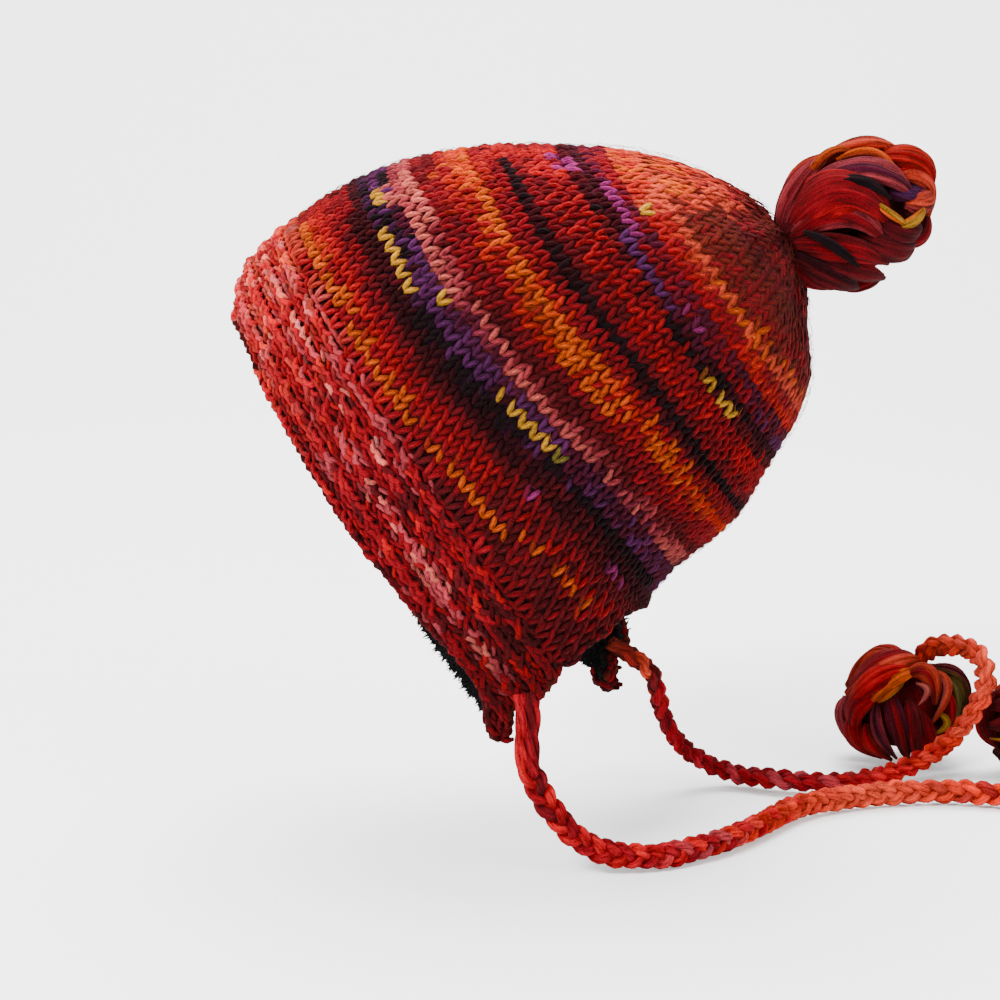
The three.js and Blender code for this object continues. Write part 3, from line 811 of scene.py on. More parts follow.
# %% Crown pompon
CROWN_MIDDLE = (0, 160.5, -24.5)
CROWN_KNOT = (-24, -14, 0)
CROWN_LOOPS = [
    ((-29, -17, 0), (-17, -10, 2), (-2, -2, 2), 30, 26, "oxblood", "maroon"),
    ((-27, -8, 6), (-8, 6, 27), (14, -6, 21), 20, 11, "crimson", "red"),
    ((-27, -12, 8), (-8, -3, 27), (12, -14, 20), 11, 8, "crimson", "rose"),
    ((-24, 4, 12), (2, 15, 24), (24, 5, 17), 13, 9, "plum", "rose"),
    ((-22, 9, 12), (6, 17, 23), (21, 8, 17), 8, 6, "rose", "crimson"),
    ((-26, -2, 8), (-14, 21, 16), (0, 23, 16), 4, 4, "orange", "coral"),
    ((-8, 20, 18), (8, 23, 18), (19, 10, 19), 4, 4, "orange", "coral"),
    ((-14, 19, 8), (2, 27, 13), (20, 25, 8), 9, 7, "coral", "scarlet"),
    ((-10, 24, 12), (6, 27, 12), (16, 23, 14), 5, 5, "crimson", "scarlet"),
    ((6, 20, 10), (25, 21, 13), (33, 10, 5), 13, 10, "scarlet", "red"),
    ((16, 14, 16), (27, 14, 14), (34, 6, 6), 8, 7, "red", "coral"),
    ((20, 2, 18), (28, 3, 14), (33, 8, 6), 10, 8, "coral", "rose"),
    ((12, 8, 19), (20, 6, 19), (28, 8, 13), 7, 6, "violet", "plum"),
    ((10, 8, 8), (24, 13, 9), (33, 12, 0), 15, 12, "violet", "plum"),
    ((8, 18, 4), (22, 18, 10), (32, 16, 2), 12, 10, "scarlet", "oxblood"),
    ((-20, 6, 22), (-2, 10, 30), (13, 3, 26), 5, 5, "black", "black"),
    ((6, 2, 27), (14, -4, 27), (20, -7, 23), 3.4, 3.4, "gold", "orange"),
    ((16, -8, 23), (24, -5, 21), (29, 2, 15), 4.5, 4.5, "gold", "orange"),
    ((8, -6, 22), (20, -10, 19), (28, -6, 8), 9, 8, "oxblood", "plum"),
    ((0, -12, 20), (15, -17, 18), (26, -14, 4), 12, 9, "oxblood", "maroon"),
    ((-26, -14, 8), (-6, -17, 23), (14, -22, 14), 12, 9, "crimson", "oxblood"),
    ((-22, -10, 22), (-10, -17, 29), (1, -25, 21), 4, 4, "black", "black"),
    ((-26, -16, 6), (-4, -24, 18), (13, -28, 7), 10, 8, "oxblood", "crimson"),
    ((-27, -18, 6), (-12, -27, 15), (2, -32, 4), 12, 9, "oxblood", "maroon"),
    ((-30, -14, 4), (-22, -26, 10), (-8, -32, 3), 10, 8, "crimson", "oxblood"),
    ((-30, -8, 4), (-24, 10, 12), (-10, 22, 8), 12, 9, "crimson", "rose"),
    ((-30, -10, 2), (-26, 6, 6), (-14, 20, 2), 9, 8, "oxblood", "crimson"),
    ((-26, -4, -4), (-4, 16, -26), (20, 10, -18), 17, 11, "scarlet", "orange"),
    ((-26, -8, -4), (0, 2, -29), (24, -4, -18), 17, 11, "crimson", "red"),
    ((-26, -10, -6), (-6, -6, -28), (18, -10, -20), 12, 9, "plum", "violet"),
    ((-24, -14, -4), (0, -14, -26), (20, -16, -14), 16, 11, "crimson", "oxblood"),
    ((-14, 16, -4), (8, 26, -12), (26, 16, -8), 14, 10, "coral", "orange"),
    ((4, 10, -18), (25, 6, -15), (32, -2, -4), 14, 10, "gold", "scarlet"),
    ((6, -4, -20), (24, -6, -15), (30, -8, -2), 12, 9, "red", "rose"),
    ((-18, -18, -6), (0, -27, -12), (14, -26, -4), 14, 10, "oxblood", "crimson"),
    ((-27, -2, -4), (-18, 18, -10), (2, 25, -6), 13, 9, "red", "coral"),
    ((-28, -14, -4), (-22, -22, -8), (-6, -29, -4), 12, 9, "crimson", "oxblood"),
    ((18, 18, 0), (30, 14, 2), (32, -2, 4), 12, 9, "scarlet", "coral"),
    ((14, -12, 4), (28, -10, 2), (31, 2, 2), 10, 8, "crimson", "oxblood"),
]
pompon("crown_pompon_loops", CROWN_MIDDLE, CROWN_KNOT, 23, 1.0, CROWN_LOOPS,
       "oxblood", "crown_pompon")

# %% [markdown]
# The two pompons on the ties rest on the ground. The far one shows its crimson lobes, an orange
# patch and a curled loop with a coral edge.

# %% Tie pompons
FAR_MIDDLE = (-86, 201.5, -262.5)
FAR_KNOT = (6, 18, 0)
FAR_LOOPS = [
    ((8, 20, 4), (-10, 21, 17), (-27, 6, 8), 13, 9, "crimson", "coral"),
    ((4, 16, 14), (-14, 14, 21), (-27, -2, 9), 12, 9, "red", "crimson"),
    ((-12, 8, 20), (-23, 0, 15), (-22, -14, 8), 11, 8, "crimson", "red"),
    ((4, 17, 17), (-8, 13, 24), (-18, 2, 19), 7, 5, "orange", "orange"),
    ((-2, 14, 21), (-9, 9, 24), (-14, 3, 22), 6, 5, "orange", "gold"),
    ((0, 16, 19), (9, 16, 25), (12, 2, 23), 9, 8, "crimson", "coral"),
    ((10, 17, 18), (18, 10, 22), (10, -8, 21), 4.5, 4, "coral", "salmon"),
    ((3, 12, 25), (8, 9, 27), (4, 2, 25), 3, 3, "salmon", "pink"),
    ((14, -2, 20), (18, -7, 20), (12, -12, 19), 3.5, 3, "gold", "gold"),
    ((-8, 6, 21), (-5, -8, 24), (1, -24, 12), 9, 8, "crimson", "plum"),
    ((0, 4, 22), (3, -10, 23), (6, -25, 10), 9, 8, "oxblood", "crimson"),
    ((-14, 2, 18), (-14, -10, 21), (-4, -24, 11), 6, 5, "plum", "rose"),
    ((4, 0, 20), (9, -14, 20), (9, -26, 9), 8, 7, "crimson", "red"),
    ((16, 14, 12), (23, 2, 14), (14, -22, 10), 6, 5, "olive", "oxblood"),
    ((12, 18, 8), (27, 8, 6), (20, -18, 6), 11, 9, "oxblood", "olive"),
    ((14, 10, 16), (20, -2, 16), (13, -20, 12), 7, 6, "red", "crimson"),
    ((-22, -2, 10), (-23, -14, 9), (-10, -24, 5), 11, 8, "crimson", "red"),
    ((-18, -8, 14), (-16, -16, 14), (-6, -25, 8), 9, 7, "red", "rust"),
    ((-26, 4, 2), (-27, -8, 2), (-16, -22, 0), 11, 8, "crimson", "rose"),
    ((4, 20, -2), (-8, 21, -16), (-24, 8, -12), 16, 11, "red", "coral"),
    ((-20, 4, -10), (-23, -8, -14), (-10, -22, -8), 15, 11, "crimson", "oxblood"),
    ((4, 16, -14), (4, 2, -25), (2, -18, -16), 16, 11, "scarlet", "orange"),
    ((14, 14, -8), (23, 2, -14), (14, -18, -10), 15, 11, "plum", "violet"),
    ((-6, 14, -16), (-12, 0, -23), (-6, -18, -14), 13, 10, "crimson", "rose"),
]
far_pompon = pompon("far_tie_pompon_loops", FAR_MIDDLE, FAR_KNOT, 20.5, 0.88, FAR_LOOPS,
                    "crimson", "far_tie_pompon")

NEAR_MIDDLE = (-56, 260, -263)
NEAR_KNOT = (16, 8, 0)
NEAR_LOOPS = [
    ((18, 12, 6), (0, 20, 16), (-21, 14, 9), 13, 9, "crimson", "red"),
    ((18, 8, 10), (-4, 12, 22), (-25, 8, 8), 12, 9, "oxblood", "crimson"),
    ((18, 4, 12), (-4, 3, 25), (-25, 0, 10), 12, 9, "crimson", "maroon"),
    ((18, 2, 10), (-2, -5, 25), (-24, -6, 9), 3.4, 3, "orange", "gold"),
    ((16, 0, 8), (-4, -13, 20), (-22, -12, 8), 12, 9, "maroon", "oxblood"),
    ((14, -4, 4), (0, -21, 10), (-17, -18, 3), 13, 9, "oxblood", "olive"),
    ((18, 14, 2), (8, 23, 4), (-12, 22, -2), 13, 10, "scarlet", "coral"),
    ((20, 10, 6), (25, 0, 14), (14, -14, 10), 13, 10, "crimson", "rose"),
    ((20, 12, 4), (14, 12, 18), (10, -6, 20), 9, 8, "scarlet", "coral"),
    ((18, 10, -6), (0, 16, -19), (-20, 10, -10), 15, 11, "red", "coral"),
    ((18, 2, -8), (-2, -2, -25), (-22, -2, -12), 15, 11, "plum", "violet"),
    ((16, -4, -6), (0, -17, -16), (-18, -14, -8), 15, 11, "crimson", "oxblood"),
    ((22, 8, -4), (25, -4, -10), (12, -18, -6), 13, 10, "coral", "orange"),
    ((-14, 16, 6), (-24, 4, 4), (-18, -12, 4), 12, 9, "crimson", "oxblood"),
    ((-12, 12, -10), (-23, 0, -8), (-16, -12, -6), 12, 9, "red", "oxblood"),
]
near_pompon = pompon("near_tie_pompon_loops", NEAR_MIDDLE, NEAR_KNOT, 20, 0.9, NEAR_LOOPS,
                     "crimson", "near_tie_pompon")

# %% [markdown]
# ## The knitted ground
# Behind the stitches lies the body of the fabric. It is a closed wall with the hat's real
# thickness, a little below the tops of the stitches, and its inner face shows the back of the
# knitting.

# %% Walls
GROUND_DEPTH = 1.95


def walls(columns_outer, columns_inner, ring, pole):
    """Closes an outer and an inner grid of points (columns by rows, bottom first) into a wall."""
    count, rows = columns_outer.shape[:2]
    points = np.concatenate([columns_outer.reshape(-1, 3), columns_inner.reshape(-1, 3)])
    offset = count * rows
    faces = []
    spans = count if ring else count - 1
    for i in range(spans):
        after = (i + 1) % count
        for j in range(rows - 1):
            a, b, c, d = i * rows + j, after * rows + j, after * rows + j + 1, i * rows + j + 1
            faces.append([a, b, c, d])
            faces.append([offset + a, offset + d, offset + c, offset + b])
        faces.append([i * rows, offset + i * rows, offset + after * rows, after * rows])
        if not pole:
            top = rows - 1
            faces.append([i * rows + top, after * rows + top, offset + after * rows + top,
                          offset + i * rows + top])
    if not ring:
        for i, flip in ((0, False), (count - 1, True)):
            for j in range(rows - 1):
                face = [i * rows + j, i * rows + j + 1, offset + i * rows + j + 1, offset + i * rows + j]
                faces.append(face[::-1] if flip else face)
    if pole:
        tips = []
        for grid, start, flip in ((columns_outer, 0, False), (columns_inner, offset, True)):
            tips.append(grid[:, -1].mean(axis=0))
            tip = 2 * offset + len(tips) - 1
            for i in range(count):
                after = (i + 1) % count
                face = [start + i * rows + rows - 1, start + after * rows + rows - 1, tip]
                faces.append(face[::-1] if flip else face)
        points = np.concatenate([points, tips])
    return points, faces


def plain_wool(name, stitch_wide, row_high):
    """The back of the knitting: rows of small bumps in the yarn's shade, under a painted shade that
    darkens it all over and most between the bumps.
    """
    material = bpy.data.materials.new(name)
    material.use_nodes = True
    tree = material.node_tree
    tree.nodes.clear()
    wire = Wiring(tree)
    rows = wire.node("ShaderNodeUVMap", {"uv_map": "strand"})
    across = wire.node("ShaderNodeSeparateXYZ", {}, {0: rows}, out=0)
    up = wire.node("ShaderNodeSeparateXYZ", {}, {0: rows}, out=1)
    wave = (across * (2 * math.pi / stitch_wide)).math("SINE")
    bumps = ((up + wave * (row_high * 0.18)) * (2 * math.pi / row_high)).math("SINE")
    place = wire.node("ShaderNodeTexCoord", {}, {}, out=3)
    tone = wire.node("ShaderNodeTexNoise", {}, {"Vector": place, "Scale": 60.0, "Detail": 3.0})
    yarn = wire.node("ShaderNodeAttribute", {"attribute_name": "yarn"})
    # Painted shade: the yarn is darkened all over, most between the bumps, with a random tone.
    depth = (bumps * 0.22 + tone * 0.5 + 0.25).clamp()
    shade = wire.node("ShaderNodeCombineColor", {}, {0: depth, 1: depth, 2: depth})
    colour = wire.mix(1.0, yarn, shade, "MULTIPLY")
    fuzz = wire.node("ShaderNodeTexNoise", {}, {"Vector": place, "Scale": 1400.0, "Detail": 2.0})
    relief = {"Height": bumps + fuzz * 0.4, "Strength": 0.7, "Distance": 0.0012}
    normal = wire.node("ShaderNodeBump", {}, relief)
    finish_with(wire, {"Base Color": colour, "Normal": normal, "Roughness": 0.95,
                       "Specular IOR Level": 0.08})
    return material


BACK_STITCH_WIDE = 8.4
ground_wool = plain_wool("knit_back", BACK_STITCH_WIDE, ROW_HIGH)

# %% [markdown]
# ## Stripes
# A table says which shade the yarn has at each row, with a second shade that flecks it. A second
# table names the dashes where a new colour starts part of the way round, and a third the broader
# patches. Rows drift slightly round the head, as the front has fewer rows than the sides.

# %% Stripe tables
STRIPES = [
    (34, "crimson", "oxblood", 0.5), (45, "crimson", "oxblood", 0.35), (48, "crimson", "orange", 0.2),
    (53, "crimson", "red", 0.4), (58, "red", "crimson", 0.5), (62, "crimson", "oxblood", 0.45),
    (66, "oxblood", "crimson", 0.4), (71, "maroon", "oxblood", 0.4), (76, "maroon", "black", 0.5),
    (79, "violet", "maroon", 0.3), (84, "violet", "plum", 0.4), (88, "violet", "plum", 0.5),
    (92, "rose", "salmon", 0.55), (96, "rose", "oxblood", 0.5), (100, "oxblood", "crimson", 0.45),
    (105, "oxblood", "crimson", 0.5), (110, "crimson", "scarlet", 0.4), (115, "crimson", "orange", 0.4),
    (119, "scarlet", "orange", 0.5), (123, "scarlet", "crimson", 0.5), (127, "oxblood", "crimson", 0.5),
    (131, "maroon", "black", 0.6), (135, "maroon", "oxblood", 0.4), (139, "crimson", "oxblood", 0.5),
    (144, "red", "crimson", 0.5), (150, "crimson", "red", 0.4), (155, "oxblood", "maroon", 0.5),
    (160, "maroon", "plum", 0.5), (165, "crimson", "plum", 0.5), (170, "crimson", "red", 0.5),
    (175, "scarlet", "crimson", 0.5), (180, "coral", "orange", 0.3), (184, "rust", "crimson", 0.4),
    (189, "crimson", "rust", 0.5), (200, "oxblood", "crimson", 0.45), (210, "rust", "oxblood", 0.5),
    (217, "oxblood", "maroon", 0.5),
]
DASHES = [
    (48, 14, 47, "orange", 0.75), (48, 50, 76, "orange", 0.8), (48, 80, 99, "orange", 0.8),
    (53, 99, 124, "orange", 0.5), (53, 12, 30, "scarlet", 0.6), (53, 44, 74, "orange", 0.4),
    (44, 40, 60, "scarlet", 0.3), (77, 36, 57, "gold", 0.95), (82, 18, 28, "gold", 0.7),
    (73, 62, 90, "black", 0.6), (78, 62, 94, "black", 0.65), (82, 84, 98, "gold", 0.75),
    (87, 60, 66, "gold", 0.8),
    (82, 98, 102, "olive", 0.9), (86, 18, 30, "salmon", 0.6), (85, 30, 50, "black", 0.6),
    (90, 34, 48, "black", 0.4), (86, 8, 18, "black", 0.9), (72, 98, 150, "magenta", 0.4),
    (78, 98, 155, "black", 0.7), (68, 95, 120, "magenta", 0.25), (96, 14, 40, "salmon", 0.6),
    (119, 34, 62, "orange", 0.6), (110, 84, 100, "orange", 0.65), (124, 104, 124, "orange", 0.4),
    (152, 12, 26, "magenta", 0.7), (157, 18, 30, "magenta", 0.7), (156, 40, 52, "black", 0.5),
    (160, 66, 74, "black", 0.6), (157, 86, 104, "black", 0.7), (161, 84, 100, "plum", 0.6),
    (156, 102, 122, "gold", 0.55), (160, 106, 132, "black", 0.6), (166, 36, 60, "magenta", 0.8),
    (171, 52, 72, "magenta", 0.5), (161, 60, 84, "violet", 0.6), (171, 46, 52, "gold", 0.8),
    (163, 128, 170, "violet", 0.4), (166, 84, 96, "magenta", 0.4),
    (48, -60, -20, "orange", 0.6), (48, -110, -78, "orange", 0.6), (77, -50, -16, "gold", 0.8),
    (81, -96, -60, "black", 0.8), (85, -58, -20, "black", 0.8), (82, -126, -100, "gold", 0.7),
    (78, -170, -120, "black", 0.7), (116, -90, -30, "orange", 0.55), (122, -150, -110, "orange", 0.4),
    (157, -80, -40, "black", 0.6), (155, -140, -110, "gold", 0.6), (166, -120, -60, "magenta", 0.6),
]
PATCHES = [
    (172, 205, -60, 58, "coral", 0.6), (172, 196, 2, 48, "orange", 0.35),
    (186, 206, 0, 50, "scarlet", 0.3), (126, 140, -10, 24, "red", 0.7), (142, 154, 0, 40, "red", 0.5),
    (50, 64, 0, 30, "red", 0.5), (108, 124, 0, 40, "scarlet", 0.45), (77, 92, 92, 180, "plum", 0.6),
    (108, 122, 6, 30, "orange", 0.35), (60, 72, 92, 150, "oxblood", 0.5),
    (36, 60, 84, 150, "oxblood", 0.6),
]
DRIFT = columns("angle rise", [
    (0, 0), (40, 0), (60, -2.5), (75, -2), (85, 1), (95, 4.5), (105, 8), (116, 10.5), (130, 11),
    (180, 9),
])


def row_of(angle, height):
    """The height that a spot would have at the forehead, which is what the stripes follow."""
    drift = along(DRIFT, "angle", np.abs((angle + 180) % 360 - 180), "rise")
    return height - drift * (1 - smooth(95, 160, height))


def drifting(rows, places, span, seed):
    """Random numbers that change slowly along each row, as the dye does along the yarn."""
    cell = np.floor(places / span)
    part = smooth(0, 1, places / span - cell)
    return lerp(random(cell, rows, seed), random(cell + 1, rows, seed), part)


def stripe_colour(row, angle, key, place, reach=1.6):
    """The yarn's colour for stitches given by row height, angle, row number and place in the row.

    Painted light makes the shades brightest at the front, most of all towards the crown, where the light
    falls."""
    heights = np.array([r[0] for r in STRIPES], float)
    value = row + (drifting(key, place, 7, 1) - 0.5) * 3.6
    i = np.clip(np.searchsorted(heights, value, side="right") - 1, 0, len(STRIPES) - 2)
    part = smooth(0.2, 1.0, (value - heights[i]) / (heights[i + 1] - heights[i]))[:, None]
    base = np.array([SHADES[r[1]] for r in STRIPES])
    fleck = np.array([SHADES[r[2]] for r in STRIPES])
    amount = np.array([r[3] for r in STRIPES])[i]
    noise = drifting(key, place, 4, 2) * 0.55 + random(key, place, 3) * 0.45
    mixed = np.clip((amount - noise) * 5 + 0.5, 0, 1)[:, None]
    colour = lerp(lerp(base[i], base[i + 1], part), fleck[i], mixed)
    for low, high, start, end, shade, chance in PATCHES:
        inner = smooth(0, 12, angle - start) * smooth(0, 12, end - angle)
        inner = inner * smooth(-3, 3, row - low) * smooth(-3, 3, high - row)
        hit = np.clip((chance * inner - random(key, place, low)) * 3 + 0.5, 0, 1) * (inner > 0)
        colour = lerp(colour, SHADES[shade], hit[:, None])
    for height, start, end, shade, chance in DASHES:
        target = ROWS[np.argmin(np.abs(ROWS - height))]
        near = (np.abs(row - target) < reach) & (angle > start) & (angle < end)
        hit = near & (drifting(key, place, 3, 5) * 0.4 + random(key, place, 4) * 0.6 < chance)
        colour = np.where(hit[:, None], SHADES[shade], colour)
    # Painted light: stitches are made brighter towards the front, up to 2.3 times at the front of the
    # crown.
    front = smooth(80, 15, np.abs(angle)) * lerp(0.5, 1.3, smooth(60, 150, row))
    return colour * ((0.82 + 0.32 * random(key, place, 6)) * (1 + front))[:, None]

# %% [markdown]
# The body is a ring of columns that closes at the crown. The band is open at the face, and its two
# ends are the back edges of the flaps. Each wall replaces one solid and keeps its form.

# %% Ground pieces
STITCHES_ROUND = 96
DEGREES_A_STITCH = 360 / STITCHES_ROUND
FELTED_DEPTH = 0.75
ROW_CROWDING = 1.3
MEAN_RADIUS = 92


def body_grid(stations, rows, depth):
    """Points of the body's wall at a depth, with their angles and heights. Rows crowd at the crown."""
    low = along(BODY_EDGE, "station", np.abs(stations), "height") + GAP
    t = np.linspace(0, 1, rows)
    heights = lerp(low[:, None], CROWN_TOP, 1 - (1 - t[None, :]) ** ROW_CROWDING)
    angles = body_angle(stations[:, None], heights)
    return inside(angles, heights, lerp(depth, FELTED_DEPTH, felted(heights))), angles, heights


def felted(heights):
    """The crown is felted by wear and washing, so the stitches sink into it."""
    return smooth(158, 184, heights)


stations = np.arange(-180, 180, 3.0)
outer_grid, angles, heights = body_grid(stations, 44, GROUND_DEPTH)
inner_grid = inside(angles, heights, WALL)
points, faces = walls(outer_grid, inner_grid, ring=True, pole=True)
row = row_of(angles, heights).ravel()
place = np.round(angles.ravel() / DEGREES_A_STITCH)
ground = stripe_colour(row, angles.ravel(), np.round(row / ROW_HIGH), place, 0)
# Painted light: the outer face is made up to 1.6 times lighter towards the felted crown, offsetting the
# knit back's painted shade there.
face_yarn_with_painted_light = ground * lerp(1.0, 1.6, felted(heights.ravel()))[:, None]
yarn = np.concatenate([face_yarn_with_painted_light, ground, ground[:1], ground[:1]])
round_arc = np.radians(stations)[:, None] * MEAN_RADIUS + 0 * heights
arc = np.stack([round_arc.ravel(), heights.ravel()], axis=1)
strand = np.concatenate([arc, arc, arc[:1], arc[:1]])
body_ground = new_mesh("knit_body_ground", (points, faces, strand, yarn, None), ground_wool)
wear(body_ground, "striped_wool", "knit_body")

far_flap, brow_part, near_flap = (-FLAP_END, -90, 1.5), (-90, 90, 3.0), (90, FLAP_END + 0.1, 1.5)
band_stations = np.concatenate([np.arange(*span) for span in (far_flap, brow_part, near_flap)])
rise = np.linspace(0, 1, 22)
band_angles, band_heights = band_spot(band_stations[:, None], rise[None, :])
outer_grid = inside(band_angles, band_heights, GROUND_DEPTH - ridge(band_heights))
inner_grid = inside(band_angles, band_heights, WALL)
points, faces = walls(outer_grid, inner_grid, ring=False, pole=False)
arc = np.stack([np.radians(band_angles).ravel() * MEAN_RADIUS, band_heights.ravel()], axis=1)
strand = np.concatenate([arc, arc])
# Painted shade: the band's ground takes the dark oxblood, as it lies in shade under the ridges.
ground = (points, faces, strand, SHADES["oxblood"], None)
wear(new_mesh("garter_band_ground", ground, ground_wool), "ridged_wool", "garter_band")

# %% [markdown]
# ## Placing stitches
# Stitches repeat thousands of times, so a Geometry Nodes tree sets one modelled stitch on every
# point. Each point carries its outward and row directions, a stretch and the yarn's colour. The
# copies are then made real, because a plain mesh is what the finished part keeps.

# %% Copy tree
def copy_tree():
    """Copies a shape onto points that say how it lies, with its sizes as named inputs."""
    tree = bpy.data.node_groups.new("copies_on_points", "GeometryNodeTree")
    face = tree.interface
    face.new_socket("Geometry", in_out="INPUT", socket_type="NodeSocketGeometry")
    face.new_socket("Shape", in_out="INPUT", socket_type="NodeSocketObject")
    face.new_socket("Finish", in_out="INPUT", socket_type="NodeSocketMaterial")
    for name in ("Width", "Height", "Relief"):
        face.new_socket(name, in_out="INPUT", socket_type="NodeSocketFloat")
    face.new_socket("Geometry", in_out="OUTPUT", socket_type="NodeSocketGeometry")
    wire = Wiring(tree)
    entry = tree.nodes.new("NodeGroupInput")
    given = {socket.name: Flow(wire, socket) for socket in entry.outputs if socket.name}

    def carried(name):
        settings = {"data_type": "FLOAT_VECTOR"}
        return wire.node("GeometryNodeInputNamedAttribute", settings, {"Name": name})

    axes = {"Primary Axis": carried("outward"), "Secondary Axis": carried("row_way")}
    turned = wire.node("FunctionNodeAxesToRotation", {"primary_axis": "Z", "secondary_axis": "X"}, axes)
    sizes = {0: given["Width"], 1: given["Height"], 2: given["Relief"]}
    size = wire.node("ShaderNodeCombineXYZ", {}, sizes)
    stretch = {0: carried("stretch"), 1: size}
    scale = wire.node("ShaderNodeVectorMath", {"operation": "MULTIPLY"}, stretch)
    shape = wire.node("GeometryNodeObjectInfo", {}, {"Object": given["Shape"]}, out="Geometry")
    set_on = {"Points": given["Geometry"], "Instance": shape, "Rotation": turned, "Scale": scale}
    placed = wire.node("GeometryNodeInstanceOnPoints", {}, set_on)
    real = wire.node("GeometryNodeRealizeInstances", {}, {"Geometry": placed})
    finished = wire.node("GeometryNodeSetMaterial", {}, {"Geometry": real, "Material": given["Finish"]})
    leave = tree.nodes.new("NodeGroupOutput")
    tree.links.new(finished.socket, leave.inputs[0])
    return tree


COPIES = copy_tree()
LAYERS = ("outward", "row_way", "stretch")


def copies(name, shape, finish, spots, width=1.0, height=1.0, relief=1.0):
    """One plain mesh of copies of a shape on the spots, in metres."""
    mesh = bpy.data.meshes.new(name)
    mesh.from_pydata((spots["point"] * MM).tolist(), [], [])
    for key in LAYERS:
        layer = mesh.attributes.new(key, "FLOAT_VECTOR", "POINT")
        layer.data.foreach_set("vector", np.asarray(spots[key], np.float32).ravel())
    colour_layer(mesh, "yarn", spots["yarn"])
    colour_layer(mesh, "yarn_other", spots.get("yarn_other", spots["yarn"]))
    holder = bpy.data.objects.new(name + "_points", mesh)
    bpy.context.scene.collection.objects.link(holder)
    modifier = holder.modifiers.new("copies", "NODES")
    modifier.node_group = COPIES
    values = {"Shape": shape, "Finish": finish, "Width": width, "Height": height, "Relief": relief}
    for item in COPIES.interface.items_tree:
        if item.item_type == "SOCKET" and item.in_out == "INPUT" and item.name in values:
            modifier[item.identifier] = values[item.name]
    bpy.context.view_layer.update()
    graph = bpy.context.evaluated_depsgraph_get()
    made = bpy.data.meshes.new_from_object(holder.evaluated_get(graph))
    made.name = name
    holder.modifiers.clear()
    bpy.data.objects.remove(holder)
    for key in LAYERS:
        if key in made.attributes:
            made.attributes.remove(made.attributes[key])
    made.shade_smooth()
    piece = bpy.data.objects.new(name, made)
    bpy.context.scene.collection.objects.link(piece)
    return piece


def pattern_shape(name, parts):
    """A shape to copy. It keeps its strand map and painted shade, and takes its yarn from the points."""
    points, faces, strand, _, form = joined(parts)
    return new_mesh(name, (points, faces, strand, None, form))

# %% [markdown]
# ## One stitch
# A stocking stitch shows as a V of two plump legs. Each leg comes out from behind the stitch
# below, swells and tucks in under the stitch above, so neighbouring rows overlap like scales. A
# few dozen faces are enough, because the eye reads the shadow between the legs, which painted
# shade on the legs deepens.

# %% Knit stitch
STITCH_WIDE = 8.4
STITCH_PITCH = 6.7
STITCH_DEPTH = 2.0
STITCH_SIDES = 6


def leg(side):
    """One leg of the V: (across, up, out) in millimetres with its half width, thickness and painted
    light, which is low at the tucked-in ends.
    """
    table = columns("across up out wide thick light", [
        (0.55, -1.5, -1.1, 0.7, 0.6, 0.35),
        (1.0, 0.1, 0.45, 1.35, 1.05, 0.85),
        (1.9, 2.2, 0.95, 1.6, 1.2, 1.0),
        (2.95, 4.3, 0.4, 1.3, 1.0, 0.75),
        (3.6, 6.0, -1.1, 0.65, 0.6, 0.3),
    ])
    path = np.stack([side * table["across"], table["up"], table["out"]], axis=1)
    across = np.broadcast_to([1.0, 0.0, 0.0], path.shape)
    points, faces, strand = tube(path, across, table["wide"], table["thick"], STITCH_SIDES)
    rise = (points - per_ring(path, STITCH_SIDES))[:, 2] / per_ring(table["thick"], STITCH_SIDES)
    # Painted shade: the leg is darker on its underside and sides and at its tucked-in ends.
    painted_shade = (0.1 + 0.9 * smooth(-0.7, 0.6, rise)) * per_ring(table["light"], STITCH_SIDES)
    form = np.stack([painted_shade, np.full(len(points), float(side < 0)), 0 * painted_shade], axis=1)
    return points, faces, strand + [0.37 * (side < 0), 0], (1, 1, 1), form


stitch = pattern_shape("stitch_pattern", [leg(1), leg(-1)])
print("a stitch has", len(stitch.data.polygons), "faces")


def garter_bump():
    """A garter bump: a small arch of yarn lying along the row, its ends hooked down."""
    t = np.linspace(-1, 1, 5)
    path = np.stack([t * 2.9, 0.5 - 1.3 * t**2, 0.75 - 2.0 * t**2], axis=1)
    thick = 1.25 * (1 - 0.4 * t**4)
    upwards = np.broadcast_to([0.0, 1.0, 0.0], path.shape)
    points, faces, strand = tube(path, upwards, thick, thick, STITCH_SIDES)
    rise = (points - per_ring(path, STITCH_SIDES))[:, 2] / 1.25
    # Painted shade: the arch is darker on its underside and towards its hooked-down ends.
    light = per_ring(1 - 0.6 * np.abs(t) ** 2.5, STITCH_SIDES)
    painted_shade = (0.15 + 0.85 * smooth(-0.6, 0.7, rise)) * light
    return points, faces, strand, (1, 1, 1), painted_shade[:, None] * [1, 0, 0]


arch = pattern_shape("garter_arch_pattern", [garter_bump()])

# %% [markdown]
# ## The striped body
# Rows are spaced evenly up the fabric. Low down every row has the same number of stitches, and
# towards the crown each row loses some, four at a time, as a knitter decreases. A stitch is
# stretched to the local width of its column, and turned and sized by a hair at random so that it
# looks handmade.

# %% Rows of stitches
LEVELS = np.linspace(0, CROWN_TOP, 74)
TURNS = np.linspace(-180, 180, 721)
LOOPS = [distance_along(outer(TURNS, level)) for level in LEVELS]
GIRTHS = np.array([run[-1] for run in LOOPS])
EVEN_TURNS = np.array([np.interp(np.linspace(0, run[-1], 361), run, TURNS) for run in LOOPS])


